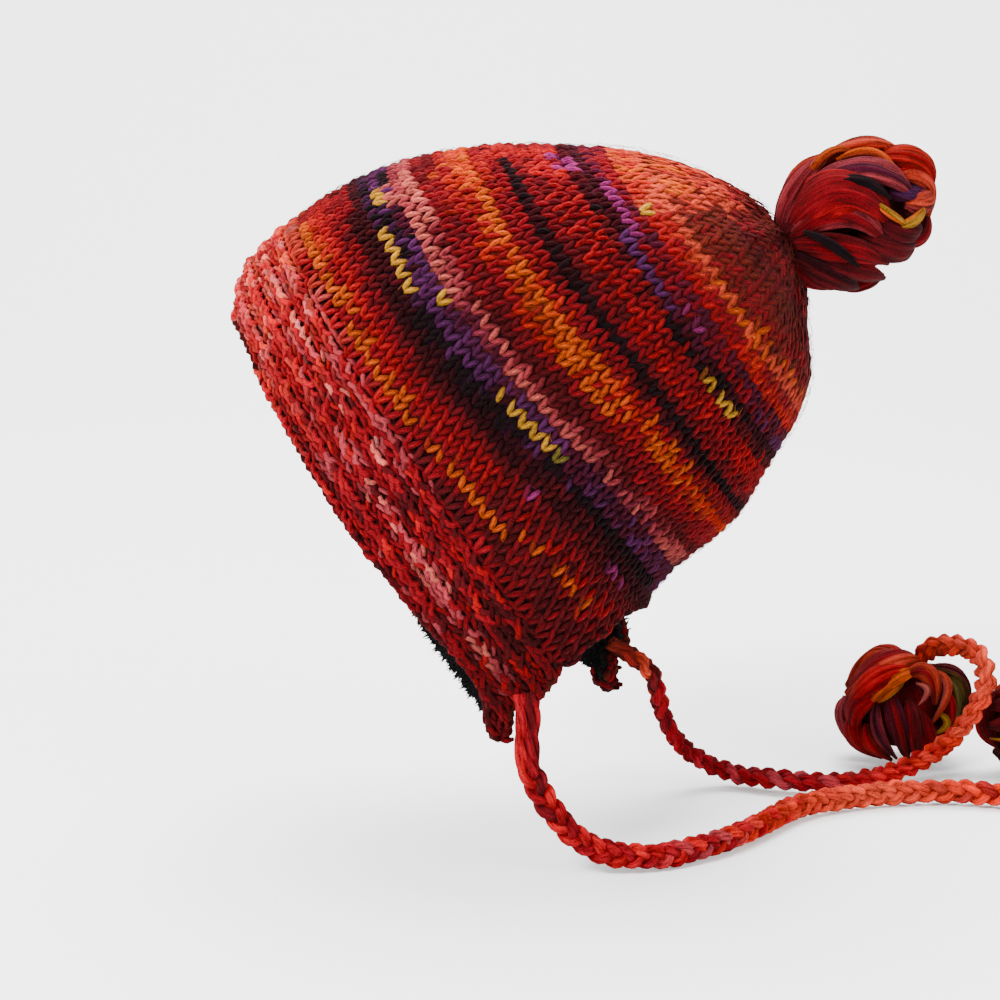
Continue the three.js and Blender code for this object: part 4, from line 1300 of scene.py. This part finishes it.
def angle_at(part, height):
    """The angle at a part (0 to 1) of the way round, counted along the fabric itself."""
    level = np.clip(height / CROWN_TOP, 0, 1) * (len(LEVELS) - 1)
    i = np.minimum(level.astype(int), len(LEVELS) - 2)
    across = np.clip(part, 0, 1) * 360
    j = np.minimum(across.astype(int), 359)
    lower = lerp(EVEN_TURNS[i, j], EVEN_TURNS[i, j + 1], across - j)
    upper = lerp(EVEN_TURNS[i + 1, j], EVEN_TURNS[i + 1, j + 1], across - j)
    return lerp(lower, upper, level - i)


EDGE_STATIONS = np.linspace(0.001, 180, 361)
EDGE_HEIGHTS = along(BODY_EDGE, "station", EDGE_STATIONS, "height") + GAP
EDGE_NEAR = edge_angle(BODY_EDGE, EDGE_STATIONS)
EDGE_FAR = -edge_angle(BODY_EDGE, -EDGE_STATIONS)


def body_edge_height(angle):
    """The height of the body's lower edge at an angle."""
    near = np.interp(np.abs(angle), EDGE_NEAR, EDGE_HEIGHTS)
    far = np.interp(np.abs(angle), EDGE_FAR, EDGE_HEIGHTS)
    return np.where(angle >= 0, near, far)


def body_spots():
    """Every stitch of the body: angle, height, width, height of its row, row, key, place and ways."""
    found = []
    for k, (row, step) in enumerate(zip(ROWS, np.gradient(ROWS))):
        girth = np.interp(row, LEVELS, GIRTHS)
        number = min(STITCHES_ROUND, 4 * max(2, round(girth / STITCH_PITCH / 4)))
        place = np.arange(number)
        part = (place + 0.5) / number
        height = np.full(number, row)
        for _ in range(4):
            angle = angle_at(part, height)
            height = row + (height - row_of(angle, height))
        wander = (drifting(k + 0 * place, place, 5, 8) - 0.5) * 1.6
        height = np.minimum(height + wander, CROWN_TOP - 2.5)
        angle = angle_at(part, height)
        spot = outer(angle, height)
        beside = np.roll(spot, -1, axis=0) - np.roll(spot, 1, axis=0)
        above = outer(angle_at(part, height + 2.4), height + 2.4)
        above = above - outer(angle_at(part, height - 2.4), height - 2.4)
        width = np.linalg.norm(beside, axis=1) / 2
        tall = np.linalg.norm(above, axis=1) / 4.8 * step / ROW_HIGH
        keep = (height > body_edge_height(angle) - 1.0) & (row < CROWN_TOP - 1)
        numbers = np.stack([angle, height, width, tall, row + 0 * angle, k + 0 * angle, place], axis=1)
        found.append(np.concatenate([numbers, beside, above], axis=1)[keep])
    return np.concatenate(found)


def spots_of(angle, height, depth, width, tall, yarn, key, place, spin=0.1, spread=0.16, ways=None):
    """Points with directions for the copy tree, each a little different."""
    round_way, up_way, out_way = directions(angle, height)
    if ways is not None:
        beside, above = ways
        round_way = unit(unit(beside) + unit(np.cross(above, out_way)))
        up_way = unit(np.cross(out_way, round_way))
    turn = (random(key, place, 11) - 0.5) * 2 * spin
    lean = (random(key, place, 12) - 0.5) * 0.2
    way = round_way * np.cos(turn)[:, None] + up_way * np.sin(turn)[:, None]
    facing = unit(out_way + up_way * lean[:, None])
    size = 1 + (random(key, place, 13) - 0.5) * 2 * spread
    puff = 1 + (random(key, place, 14) - 0.5) * 2 * spread
    stretch = np.stack([width * lerp(1, size, 0.6), tall * lerp(1, size, 0.5), puff], axis=1)
    point = outer(angle, height) - out_way * np.broadcast_to(depth, len(angle))[:, None]
    return {"point": point, "outward": facing, "row_way": way, "stretch": stretch, "yarn": yarn}


def picked(spots, mask):
    return {key: value[mask] for key, value in spots.items()}


stitches = body_spots()
angle, height, width, tall, row, key, place = stitches[:, :7].T
felt = felted(height)
yarn = stripe_colour(row, angle, key, place)
body_stitches = spots_of(angle, height, lerp(STITCH_DEPTH, FELTED_DEPTH, felt),
                         width / STITCH_WIDE * (1 + 0.25 * felt), tall * (1 + 0.1 * felt), yarn, key,
                         place, ways=(stitches[:, 7:10], stitches[:, 10:13]))
body_stitches["stretch"][:, 2] *= 1 - 0.72 * felt
other = stripe_colour(row, angle, key + 0.37, place + 0.5)
body_stitches["yarn_other"] = lerp(yarn, other, 0.8)
PARTS = [("body_stitches_lower", 0, 74), ("body_stitches_middle", 74, 104),
         ("body_stitches_upper", 104, 138), ("body_stitches_crown", 138, 400)]
for name, low, high in PARTS:
    mask = (row >= low) & (row < high)
    piece = copies(name, stitch, stitch_wool, picked(body_stitches, mask))
    wear(piece, "striped_wool")

# %% [markdown]
# ## The ridged band
# Garter stitch shows as ridges of little arches, with sunken and flatter ones between. Lines next
# to each other are half an arch apart and hook into each other. One row of stocking stitches joins
# the band to the body.

# %% Ridges of the band
BAND_STATIONS = np.linspace(-FLAP_END, FLAP_END, 457)
BUMPS_ROUND = 152
LINES_OF_A_RIDGE = (-3.3, -1.1, 1.1, 3.3)
BAND_RUNS = [
    (30.4, -80, 80, "salmon", 0.4), (39.2, -88, 88, "rose", 0.42), (21.6, -45, 45, "salmon", 0.42),
    (21.6, 70, 116, "rose", 0.5), (25, -30, 70, "rose", 0.3), (35, 0, 80, "rose", 0.3),
    (21.6, 78, 116, "salmon", 0.34), (21.6, -116, -78, "salmon", 0.4), (12.8, -45, 45, "rose", 0.5),
    (12.8, 60, 100, "rose", 0.22), (39.2, -30, 30, "coral", 0.6), (4, -40, 40, "rose", 0.3),
    (30.4, 82, 116, "oxblood", 0.55), (39.2, 88, 116, "oxblood", 0.5), (39.2, 0, 40, "pink", 0.2),
    (30.4, 10, 75, "pink", 0.22), (4, 50, 116, "oxblood", 0.4), (30.4, 40, 60, "black", 0.08),
]


def band_share(angle, height):
    """How far up the band a spot lies. It is -1 beyond the flaps' back edges."""
    bottom = along(BAND_EDGE, "station", np.abs(BAND_STATIONS), "height")
    up = (height - bottom) / (BAND_TOP - GAP - bottom)
    edge = band_spot(BAND_STATIONS, np.clip(up, 0, 1))[0]
    return np.interp(angle, edge, up, left=-1, right=-1)


def band_row(height, shift, number):
    """Angles, width and places of the stitches of a row of the band."""
    place = np.arange(number)
    angle = angle_at((place + 0.5 + shift) / number, np.full(number, float(height)))
    keep = np.minimum(band_share(angle - 1.2, height), band_share(angle + 1.2, height)) > 0.02
    width = np.interp(height, LEVELS, GIRTHS) / number
    return angle[keep], np.full(keep.sum(), width), place[keep].astype(float)


def band_colour(height, angle, key, place):
    """Crimson, with runs of salmon and rose ridges and more coral at the forehead, under painted light
    that is brightest at the forehead and painted shade down the flaps.
    """
    noise = drifting(key, place, 3, 21) * 0.45 + random(key, place, 22) * 0.55
    colour = np.where((noise < 0.3)[:, None], SHADES["red"], SHADES["crimson"])
    colour = np.where((noise > 0.75)[:, None], SHADES["oxblood"], colour)
    for n, (level, begin, end, shade, chance) in enumerate(BAND_RUNS):
        near = (abs(height[0] - level) < 3.5) & (angle > begin) & (angle < end)
        draw = drifting(key, place, 4, 30 + n) * 0.3 + random(key, place, 50 + n) * 0.7
        hit = near & (draw < chance * 0.8)
        colour = np.where(hit[:, None], SHADES[shade], colour)
    round_from_brow = np.abs(angle)
    brow = smooth(80, 10, round_from_brow) * 0.5
    pick = random(key, place, 24)[:, None]
    warm = np.where(pick < 0.4, SHADES["salmon"], SHADES["red"])
    warm = np.where(pick < 0.25, SHADES["coral"], warm)
    colour = lerp(colour, warm, brow[:, None])
    # Painted light: the band is about 2.5 times brighter at the forehead and 1.5 times round the sides;
    # painted shade takes the flaps down to 0.75.
    fade = lerp(1.2, 1.5, smooth(25, 60, round_from_brow))
    fade = fade * lerp(1, 0.5, smooth(88, 112, round_from_brow))
    return colour * ((0.8 + 0.36 * random(key, place, 26)) * (1 + 2.2 * brow) * fade)[:, None]


crests = np.arange(RIDGE_START, BAND_TOP, RIDGE_PITCH)
lines = np.concatenate([crests + offset for offset in LINES_OF_A_RIDGE])
spots = []
for k, height in enumerate(sorted(lines)):
    angle, width, place = band_row(height, 0.5 * (k % 2), BUMPS_ROUND)
    if len(angle) == 0:
        continue
    level = np.full_like(angle, height)
    key = np.full_like(angle, 100 + k)
    proud = ridge(height) / RIDGE_DEPTH
    colour = band_colour(level, angle, key, place)
    # Painted shade: lines sunk between the ridges are darker than those on the crests.
    colour = colour * (lerp(0.55, 0.95, proud) + 0.3 * random(key, place, 27))[:, None]
    tall = np.full_like(angle, lerp(0.85, 1.15, proud))
    depth = lerp(STITCH_DEPTH, 0.45, proud)
    spot = spots_of(angle, level, depth, width * 2 / STITCH_WIDE * 1.05, tall, colour, key, place,
                    spin=0.55, spread=0.3)
    spot["row_way"] = spot["row_way"] * (1.0 if k % 2 else -1.0)
    spots.append(spot)
ridges = {key: np.concatenate([s[key] for s in spots]) for key in spots[0]}
wear(copies("garter_ridges", arch, ridge_wool, ridges), "ridged_wool")

JOINING_ROW = 43.2
angle, width, place = band_row(JOINING_ROW, 0.0, STITCHES_ROUND)
level = np.full_like(angle, JOINING_ROW)
key = np.full_like(angle, 145.0)
# Painted shade: the joining row, where band and body meet, is darkened to 0.8.
colour = band_colour(level, angle, key, place) * 0.8
joining = spots_of(angle, level, 1.6, width / STITCH_WIDE, np.full_like(angle, 1.2), colour, key, place)
wear(copies("garter_joining_row", stitch, ridge_wool, joining), "ridged_wool")

# %% [markdown]
# ## Edges
# The first row of a knitted edge reads as a smooth chain that wraps the thickness of the fabric.
# It runs along the band from flap tip to flap tip, along the back between the flaps, and up the
# back edge of each flap, where three more ropes bind the lining in.

# %% Edge chains
ROPE_PITCH = 4.1
EDGE_ROPES = ((1.3, 1.2, 0.9), (3.0, 0.2, 0.1), (4.6, 1.2, -0.9))
BINDING_ROPES = ((6.4, 0.8, -0.4), (8.0, 2.2, -1.6), (8.4, 5.0, -6.0))


def chain(name, line, outward, finish, shades, key, slot):
    """A rope of bumps along a line of points, which rounds off an edge of the fabric."""
    run = distance_along(line)
    even = np.arange(1.5, run[-1] - 1, ROPE_PITCH)
    point = np.stack([np.interp(even, run, line[:, i]) for i in range(3)], axis=1)
    facing = unit(np.stack([np.interp(even, run, outward[:, i]) for i in range(3)], axis=1))
    way = unit(np.gradient(point, axis=0))
    place = np.arange(len(even))
    flip = np.where(place % 2 == 0, 1.0, -1.0)[:, None]
    vary = 1 + (random(place, key, 31) - 0.5) * 0.3
    stretch = np.stack([vary, 1.25 * vary, 1.2 * vary], axis=1)
    first, second = SHADES[shades[0]], SHADES[shades[1]]
    yarn = np.where(random(place, key, 32)[:, None] < 0.5, first, second)
    yarn = yarn * (0.7 + 0.45 * random(place, key, 33))[:, None]
    spots = {"point": point - facing * 0.5, "outward": facing, "row_way": way * flip,
             "stretch": stretch, "yarn": yarn}
    return wear(copies(name, arch, finish, spots), slot)


def edge_ropes(tag, angles, heights, inward_way, out_way, finish, shades, key, slot):
    """Three ropes that wrap the thickness of an edge. inward_way points into the fabric."""
    for n, (depth, aside, mix) in enumerate(EDGE_ROPES):
        line = outer(angles, heights) - out_way * depth + inward_way * aside
        facing = unit(out_way * mix - inward_way)
        chain(f"{tag}_{n + 1}", line, facing, finish, shades, key + n, slot)


station = np.linspace(-FLAP_END, FLAP_END, 400)
edge_angles, edge_heights = band_spot(station, 0.0)
round_way, up_way, out_way = directions(edge_angles, edge_heights)
edge_ropes("band_edge", edge_angles, edge_heights, up_way, out_way, ridge_wool,
           ("crimson", "oxblood"), 201, "ridged_wool")

nape_start = FLAP_END - 4
station = np.concatenate([np.linspace(nape_start, 180, 120), np.linspace(-180, -nape_start, 120)[1:]])
low = along(BODY_EDGE, "station", np.abs(station), "height") + GAP
edge_angles = edge_angle(BODY_EDGE, station)
out_way = directions(edge_angles, low)[2]
line = outer(edge_angles, low)
inward_way = unit(np.cross(out_way, unit(np.gradient(line, axis=0))))
edge_ropes("nape_edge", edge_angles, low, inward_way, out_way, stitch_wool,
           ("oxblood", "maroon"), 211, "striped_wool")

for side, tag in ((1, "near_flap_back"), (-1, "far_flap_back")):
    edge_angles, edge_heights = band_spot(np.full(60, side * float(FLAP_END)), np.linspace(0, 1, 60))
    out_way = directions(edge_angles, edge_heights)[2]
    line = outer(edge_angles, edge_heights)
    inward_way = unit(np.cross(out_way, unit(np.gradient(line, axis=0)))) * side
    edge_ropes(tag, edge_angles, edge_heights, inward_way, out_way, ridge_wool,
               ("crimson", "rust"), 221 + 5 * side, "ridged_wool")
    for n, (depth, aside, mix) in enumerate(BINDING_ROPES):
        rope = outer(edge_angles, edge_heights) - out_way * depth + inward_way * aside
        facing = unit(out_way * mix - inward_way)
        shades = ("pile", "pile") if n == 2 and side < 0 else ("crimson", "rust")
        key = 251 + n + 5 * side
        chain(f"{tag}_binding_{n + 1}", rope, facing, ridge_wool, shades, key, "ridged_wool")

# %% [markdown]
# ## Pile lining
# Black pile fleece lines the band and the flaps, and its fringe stands out past the front edge of
# each flap. The lining is a closed sheet with real thickness; short tapered tufts stand on it.

# %% Lining sheet
def lining_column(station):
    """Angles and heights of the lining's rows at a station, bottom first."""
    spots = []
    inward = math.copysign(1.4, station) if abs(abs(station) - FLAP_END) < 1e-6 else 0.0
    if abs(station) <= FLAP_END:
        past = float(along(PILE_EDGE, "station", abs(station), "past"))
        for j in range(12):
            angle, height = band_spot(np.array(float(station)), j / 12)
            spots.append((float(angle) - inward, float(height) - (past if j == 0 else 0)))
    low = float(along(BODY_EDGE, "station", abs(station), "height")) + GAP
    lift = 0.0 if abs(station) <= FLAP_END else 1.4
    for t in (0.0, 1 / 16, 1 / 8):
        height = lerp(low, CROWN_TOP, 1 - (1 - t) ** ROW_CROWDING) + (lift if t == 0 else 0)
        spots.append((float(body_angle(np.array(float(station)), height)) - inward, height))
    return spots


def lining_sheet():
    """The lining as quads between neighbouring columns, then closed round its edges."""
    outside, within, columns_of_ids = [], [], []
    for station in range(-180, 180, 3):
        ids = []
        for angle, height in lining_column(station):
            ids.append(len(outside))
            outside.append(inside(np.array(angle), np.array(height), WALL + GAP))
            within.append(inside(np.array(angle), np.array(height), WALL + GAP + LINING))
        columns_of_ids.append(ids)
    quads = []
    for ids, after in zip(columns_of_ids, columns_of_ids[1:] + columns_of_ids[:1]):
        for k in range(1, min(len(ids), len(after))):
            quads.append([ids[-k - 1], ids[-k], after[-k], after[-k - 1]][::-1])
    count = len(outside)
    faces = quads + [[v + count for v in quad[::-1]] for quad in quads]
    edges = set()
    for quad in quads:
        for start, end in zip(quad, quad[1:] + quad[:1]):
            if (end, start) in edges:
                edges.remove((end, start))
            else:
                edges.add((start, end))
    faces = faces + [[end, start, start + count, end + count] for start, end in sorted(edges)]
    return np.array(outside + within), faces, quads, count


pile_wool = plain_wool("pile", 3.0, 3.0)
sheet_points, faces, quads, count = lining_sheet()
flat_area = 0.0
for quad in quads:
    a, b, c, d = sheet_points[np.array(quad) + count]
    flat_area += 0.5 * np.linalg.norm(np.cross(c - a, d - b))
sheet = (sheet_points, faces, sheet_points[:, :2], SHADES["pile"], None)
lining = new_mesh("fleece_lining_sheet", sheet, pile_wool)
wear(lining, "pile", "fleece_lining")
print("lining area", round(flat_area), "square mm")

# %% [markdown]
# The pile is a few thousand little spikes that lean at random, with more layers of them along the
# edge of each flap, where it shows past the knitting.

# %% Tufts
AREA_A_TUFT = 22
FRINGE_FROM = 77
FRINGE_TO = 105
FRINGE_PLACES = 190
FRINGE_LAYERS = 6


def spike(length, base):
    """A bent four-sided tuft."""
    path = np.array([[0, 0, -0.4], [0.15, 0, length * 0.5], [0.5, 0.1, length]])
    across = np.broadcast_to([1.0, 0.0, 0.0], path.shape)
    thick = np.array([base, base * 0.75, 0.05])
    points, faces, strand = tube(path, across, thick, thick, 4)
    return points, faces, strand, (1, 1, 1), (1, 0, 0)


tuft = pattern_shape("tuft_pattern", [spike(3.2, 0.55)])
spots = []
for k, quad in enumerate(quads):
    corners = sheet_points[np.array(quad) + count]
    inward = unit((corners.mean(axis=0) - sheet_points[quad].mean(axis=0))[None, :])[0]
    size = 0.5 * np.linalg.norm(np.cross(corners[2] - corners[0], corners[3] - corners[1]))
    for n in range(max(1, int(size / AREA_A_TUFT))):
        u, v = random(k, n, 41), random(k, n, 42)
        spot = lerp(lerp(corners[0], corners[3], u), lerp(corners[1], corners[2], u), v)
        lean = np.array([random(k, n, 43), random(k, n, 44), random(k, n, 45)]) - 0.5
        spots.append((spot, inward + lean * 1.1, lean + 0.01, (1, 1, 0.6 + 0.7 * random(k, n, 46))))
for side in (-1, 1):
    for n, s in enumerate(np.linspace(FRINGE_FROM, FRINGE_TO, FRINGE_PLACES)):
        past = float(along(PILE_EDGE, "station", s, "past"))
        angle, level = band_spot(np.array(side * s), 0.0)
        round_way, up_way, out_way = directions(angle, level)
        for layer in range(FRINGE_LAYERS):
            seed = layer + 7 * (side > 0)
            depth = WALL + GAP + LINING * random(n, seed, 53)
            start = inside(angle, level - past * random(n, seed, 52), depth)
            way = out_way * (random(n, seed, 54) - 0.6) * 0.9 - up_way
            way = way + round_way * (random(n, seed, 55) - 0.5) * 1.4
            grow = (0.5 + 0.7 * random(n, seed, 51)) * (0.5 + 0.27 * max(past, 0))
            spots.append((start, way, round_way, (1.4, 1.4, grow)))
tufts = {
    "point": np.array([s[0] for s in spots]),
    "outward": unit(np.array([s[1] for s in spots])),
    "row_way": unit(np.array([s[2] for s in spots])),
    "stretch": np.array([s[3] for s in spots]),
    "yarn": np.tile(SHADES["pile"] * 1.4, (len(spots), 1)),
}
pile_tufts = wear(copies("fleece_tufts", tuft, pile_wool, tufts), "pile")

# %% [markdown]
# ## Stray fibres
# Wool is never quite smooth. Fine curved fibres stand out from the stitches, more of them on the
# crown, where washing has felted the fabric.

# %% Fibres
def fibre():
    """A thin curved hair."""
    path = np.array([[0, 0, 0], [0.7, 2.0, 0.9], [2.4, 3.1, 0.8]])
    across = np.broadcast_to([0.0, 0.0, 1.0], path.shape)
    thin = np.array([0.1, 0.09, 0.03])
    points, faces, strand = tube(path, across, thin, thin, 3)
    # Painted shade: the fibre is darkened only a little (0.9).
    return points, faces, strand, (1, 1, 1), (0.9, 0, 0)


FIBRES_A_STITCH = 3
hair = pattern_shape("fibre_pattern", [fibre()])
number = np.arange(len(felt))
chance = 0.5 + 0.5 * felt
pick = np.concatenate([np.flatnonzero(random(number, seed, 61) < chance)
                       for seed in range(FIBRES_A_STITCH)])
seed = np.arange(len(pick))
normal = body_stitches["outward"][pick]
way = body_stitches["row_way"][pick]
side = np.cross(normal, way)
spin = random(seed, 62) * 2 * np.pi
turned = way * np.cos(spin)[:, None] + side * np.sin(spin)[:, None]
jitter = way * ((random(seed, 63) - 0.5) * 7)[:, None]
jitter = jitter + side * ((random(seed, 64) + 0.1) * 4)[:, None]
fibres = {
    "point": body_stitches["point"][pick] + jitter + normal * 1.8,
    "outward": unit(normal + turned * 0.3),
    "row_way": turned,
    "stretch": np.stack([(0.6 + 0.7 * random(seed, 65)) * (1 - 0.3 * felt[pick])] * 3, axis=1),
    # Painted sheen: the fibres are 1.3 times lighter and a little warmer than their stitch.
    "yarn": body_stitches["yarn"][pick] * 1.3 + SHADES["coral"] * 0.15,
}
wear(copies("stray_fibres", hair, stitch_wool, fibres), "striped_wool")
for shape in (stitch, arch, tuft, hair):
    bpy.data.objects.remove(shape)
print("all added", sum(tally.values()), "triangles")

# %% [markdown]
# ## Floor and light
# A plain pale floor under the ties and pompons, and soft studio light: one broad light from above
# and in front of the hat, a weak one from the side of the pompons, a wide one above the far side
# that brightens the floor and the wall, and a pale surround.

# %% Stage
FLOOR_LEVEL = -291


def backdrop():
    """A pale floor that curves up into a wall behind the hat."""
    material = bpy.data.materials.new("pale_floor")
    material.use_nodes = True
    shader = material.node_tree.nodes["Principled BSDF"]
    shader.inputs["Base Color"].default_value = (0.92, 0.92, 0.92, 1)
    shader.inputs["Roughness"].default_value = 0.95
    turn = np.linspace(0, np.pi / 2, 17)
    profile = [(2500.0, 0.0)]
    profile += [(-1100 - 700 * math.sin(t), 700 - 700 * math.cos(t)) for t in turn]
    profile += [(-1800.0, 2600.0)]
    points = [(x, y, FLOOR_LEVEL + z) for x, z in profile for y in (-3500.0, 3500.0)]
    faces = [[2 * i, 2 * i + 1, 2 * i + 3, 2 * i + 2] for i in range(len(profile) - 1)]
    points = np.array(points)
    new_mesh("floor", (points, faces, points[:, :2], None, None), material)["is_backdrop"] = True


def area_light(name, spot, size, power, colour=(1, 1, 1)):
    light = bpy.data.lights.new(name, "AREA")
    light.shape = "DISK"
    light.size = size
    light.energy = power
    light.color = colour
    lamp = bpy.data.objects.new(name, light)
    bpy.context.scene.collection.objects.link(lamp)
    lamp.location = spot
    lamp.rotation_mode = "QUATERNION"
    lamp.rotation_quaternion = (Vector((0, 0.05, -0.12)) - Vector(spot)).to_track_quat("-Z", "Y")


backdrop()
area_light("key_light", (1.3, -1.2, 1.4), 0.9, 125)
area_light("fill_light", (1.2, 1.5, 0.6), 1.2, 25)
area_light("wall_light", (-0.6, 0.0, 1.7), 1.6, 90)
world = bpy.data.worlds.new("studio")
world.use_nodes = True
world.node_tree.nodes["Background"].inputs["Color"].default_value = (1, 1, 1, 1)
world.node_tree.nodes["Background"].inputs["Strength"].default_value = 1.5
bpy.context.scene.world = world

# %% [markdown]
# ## Finish
# The box of the dressed hat is printed next to that of the solids.

# %% Write sizes
new_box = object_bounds()
for old, new in zip(cad_box, new_box):
    print("box", [round(v * 1000, 1) for v in old], [round(v * 1000, 1) for v in new])
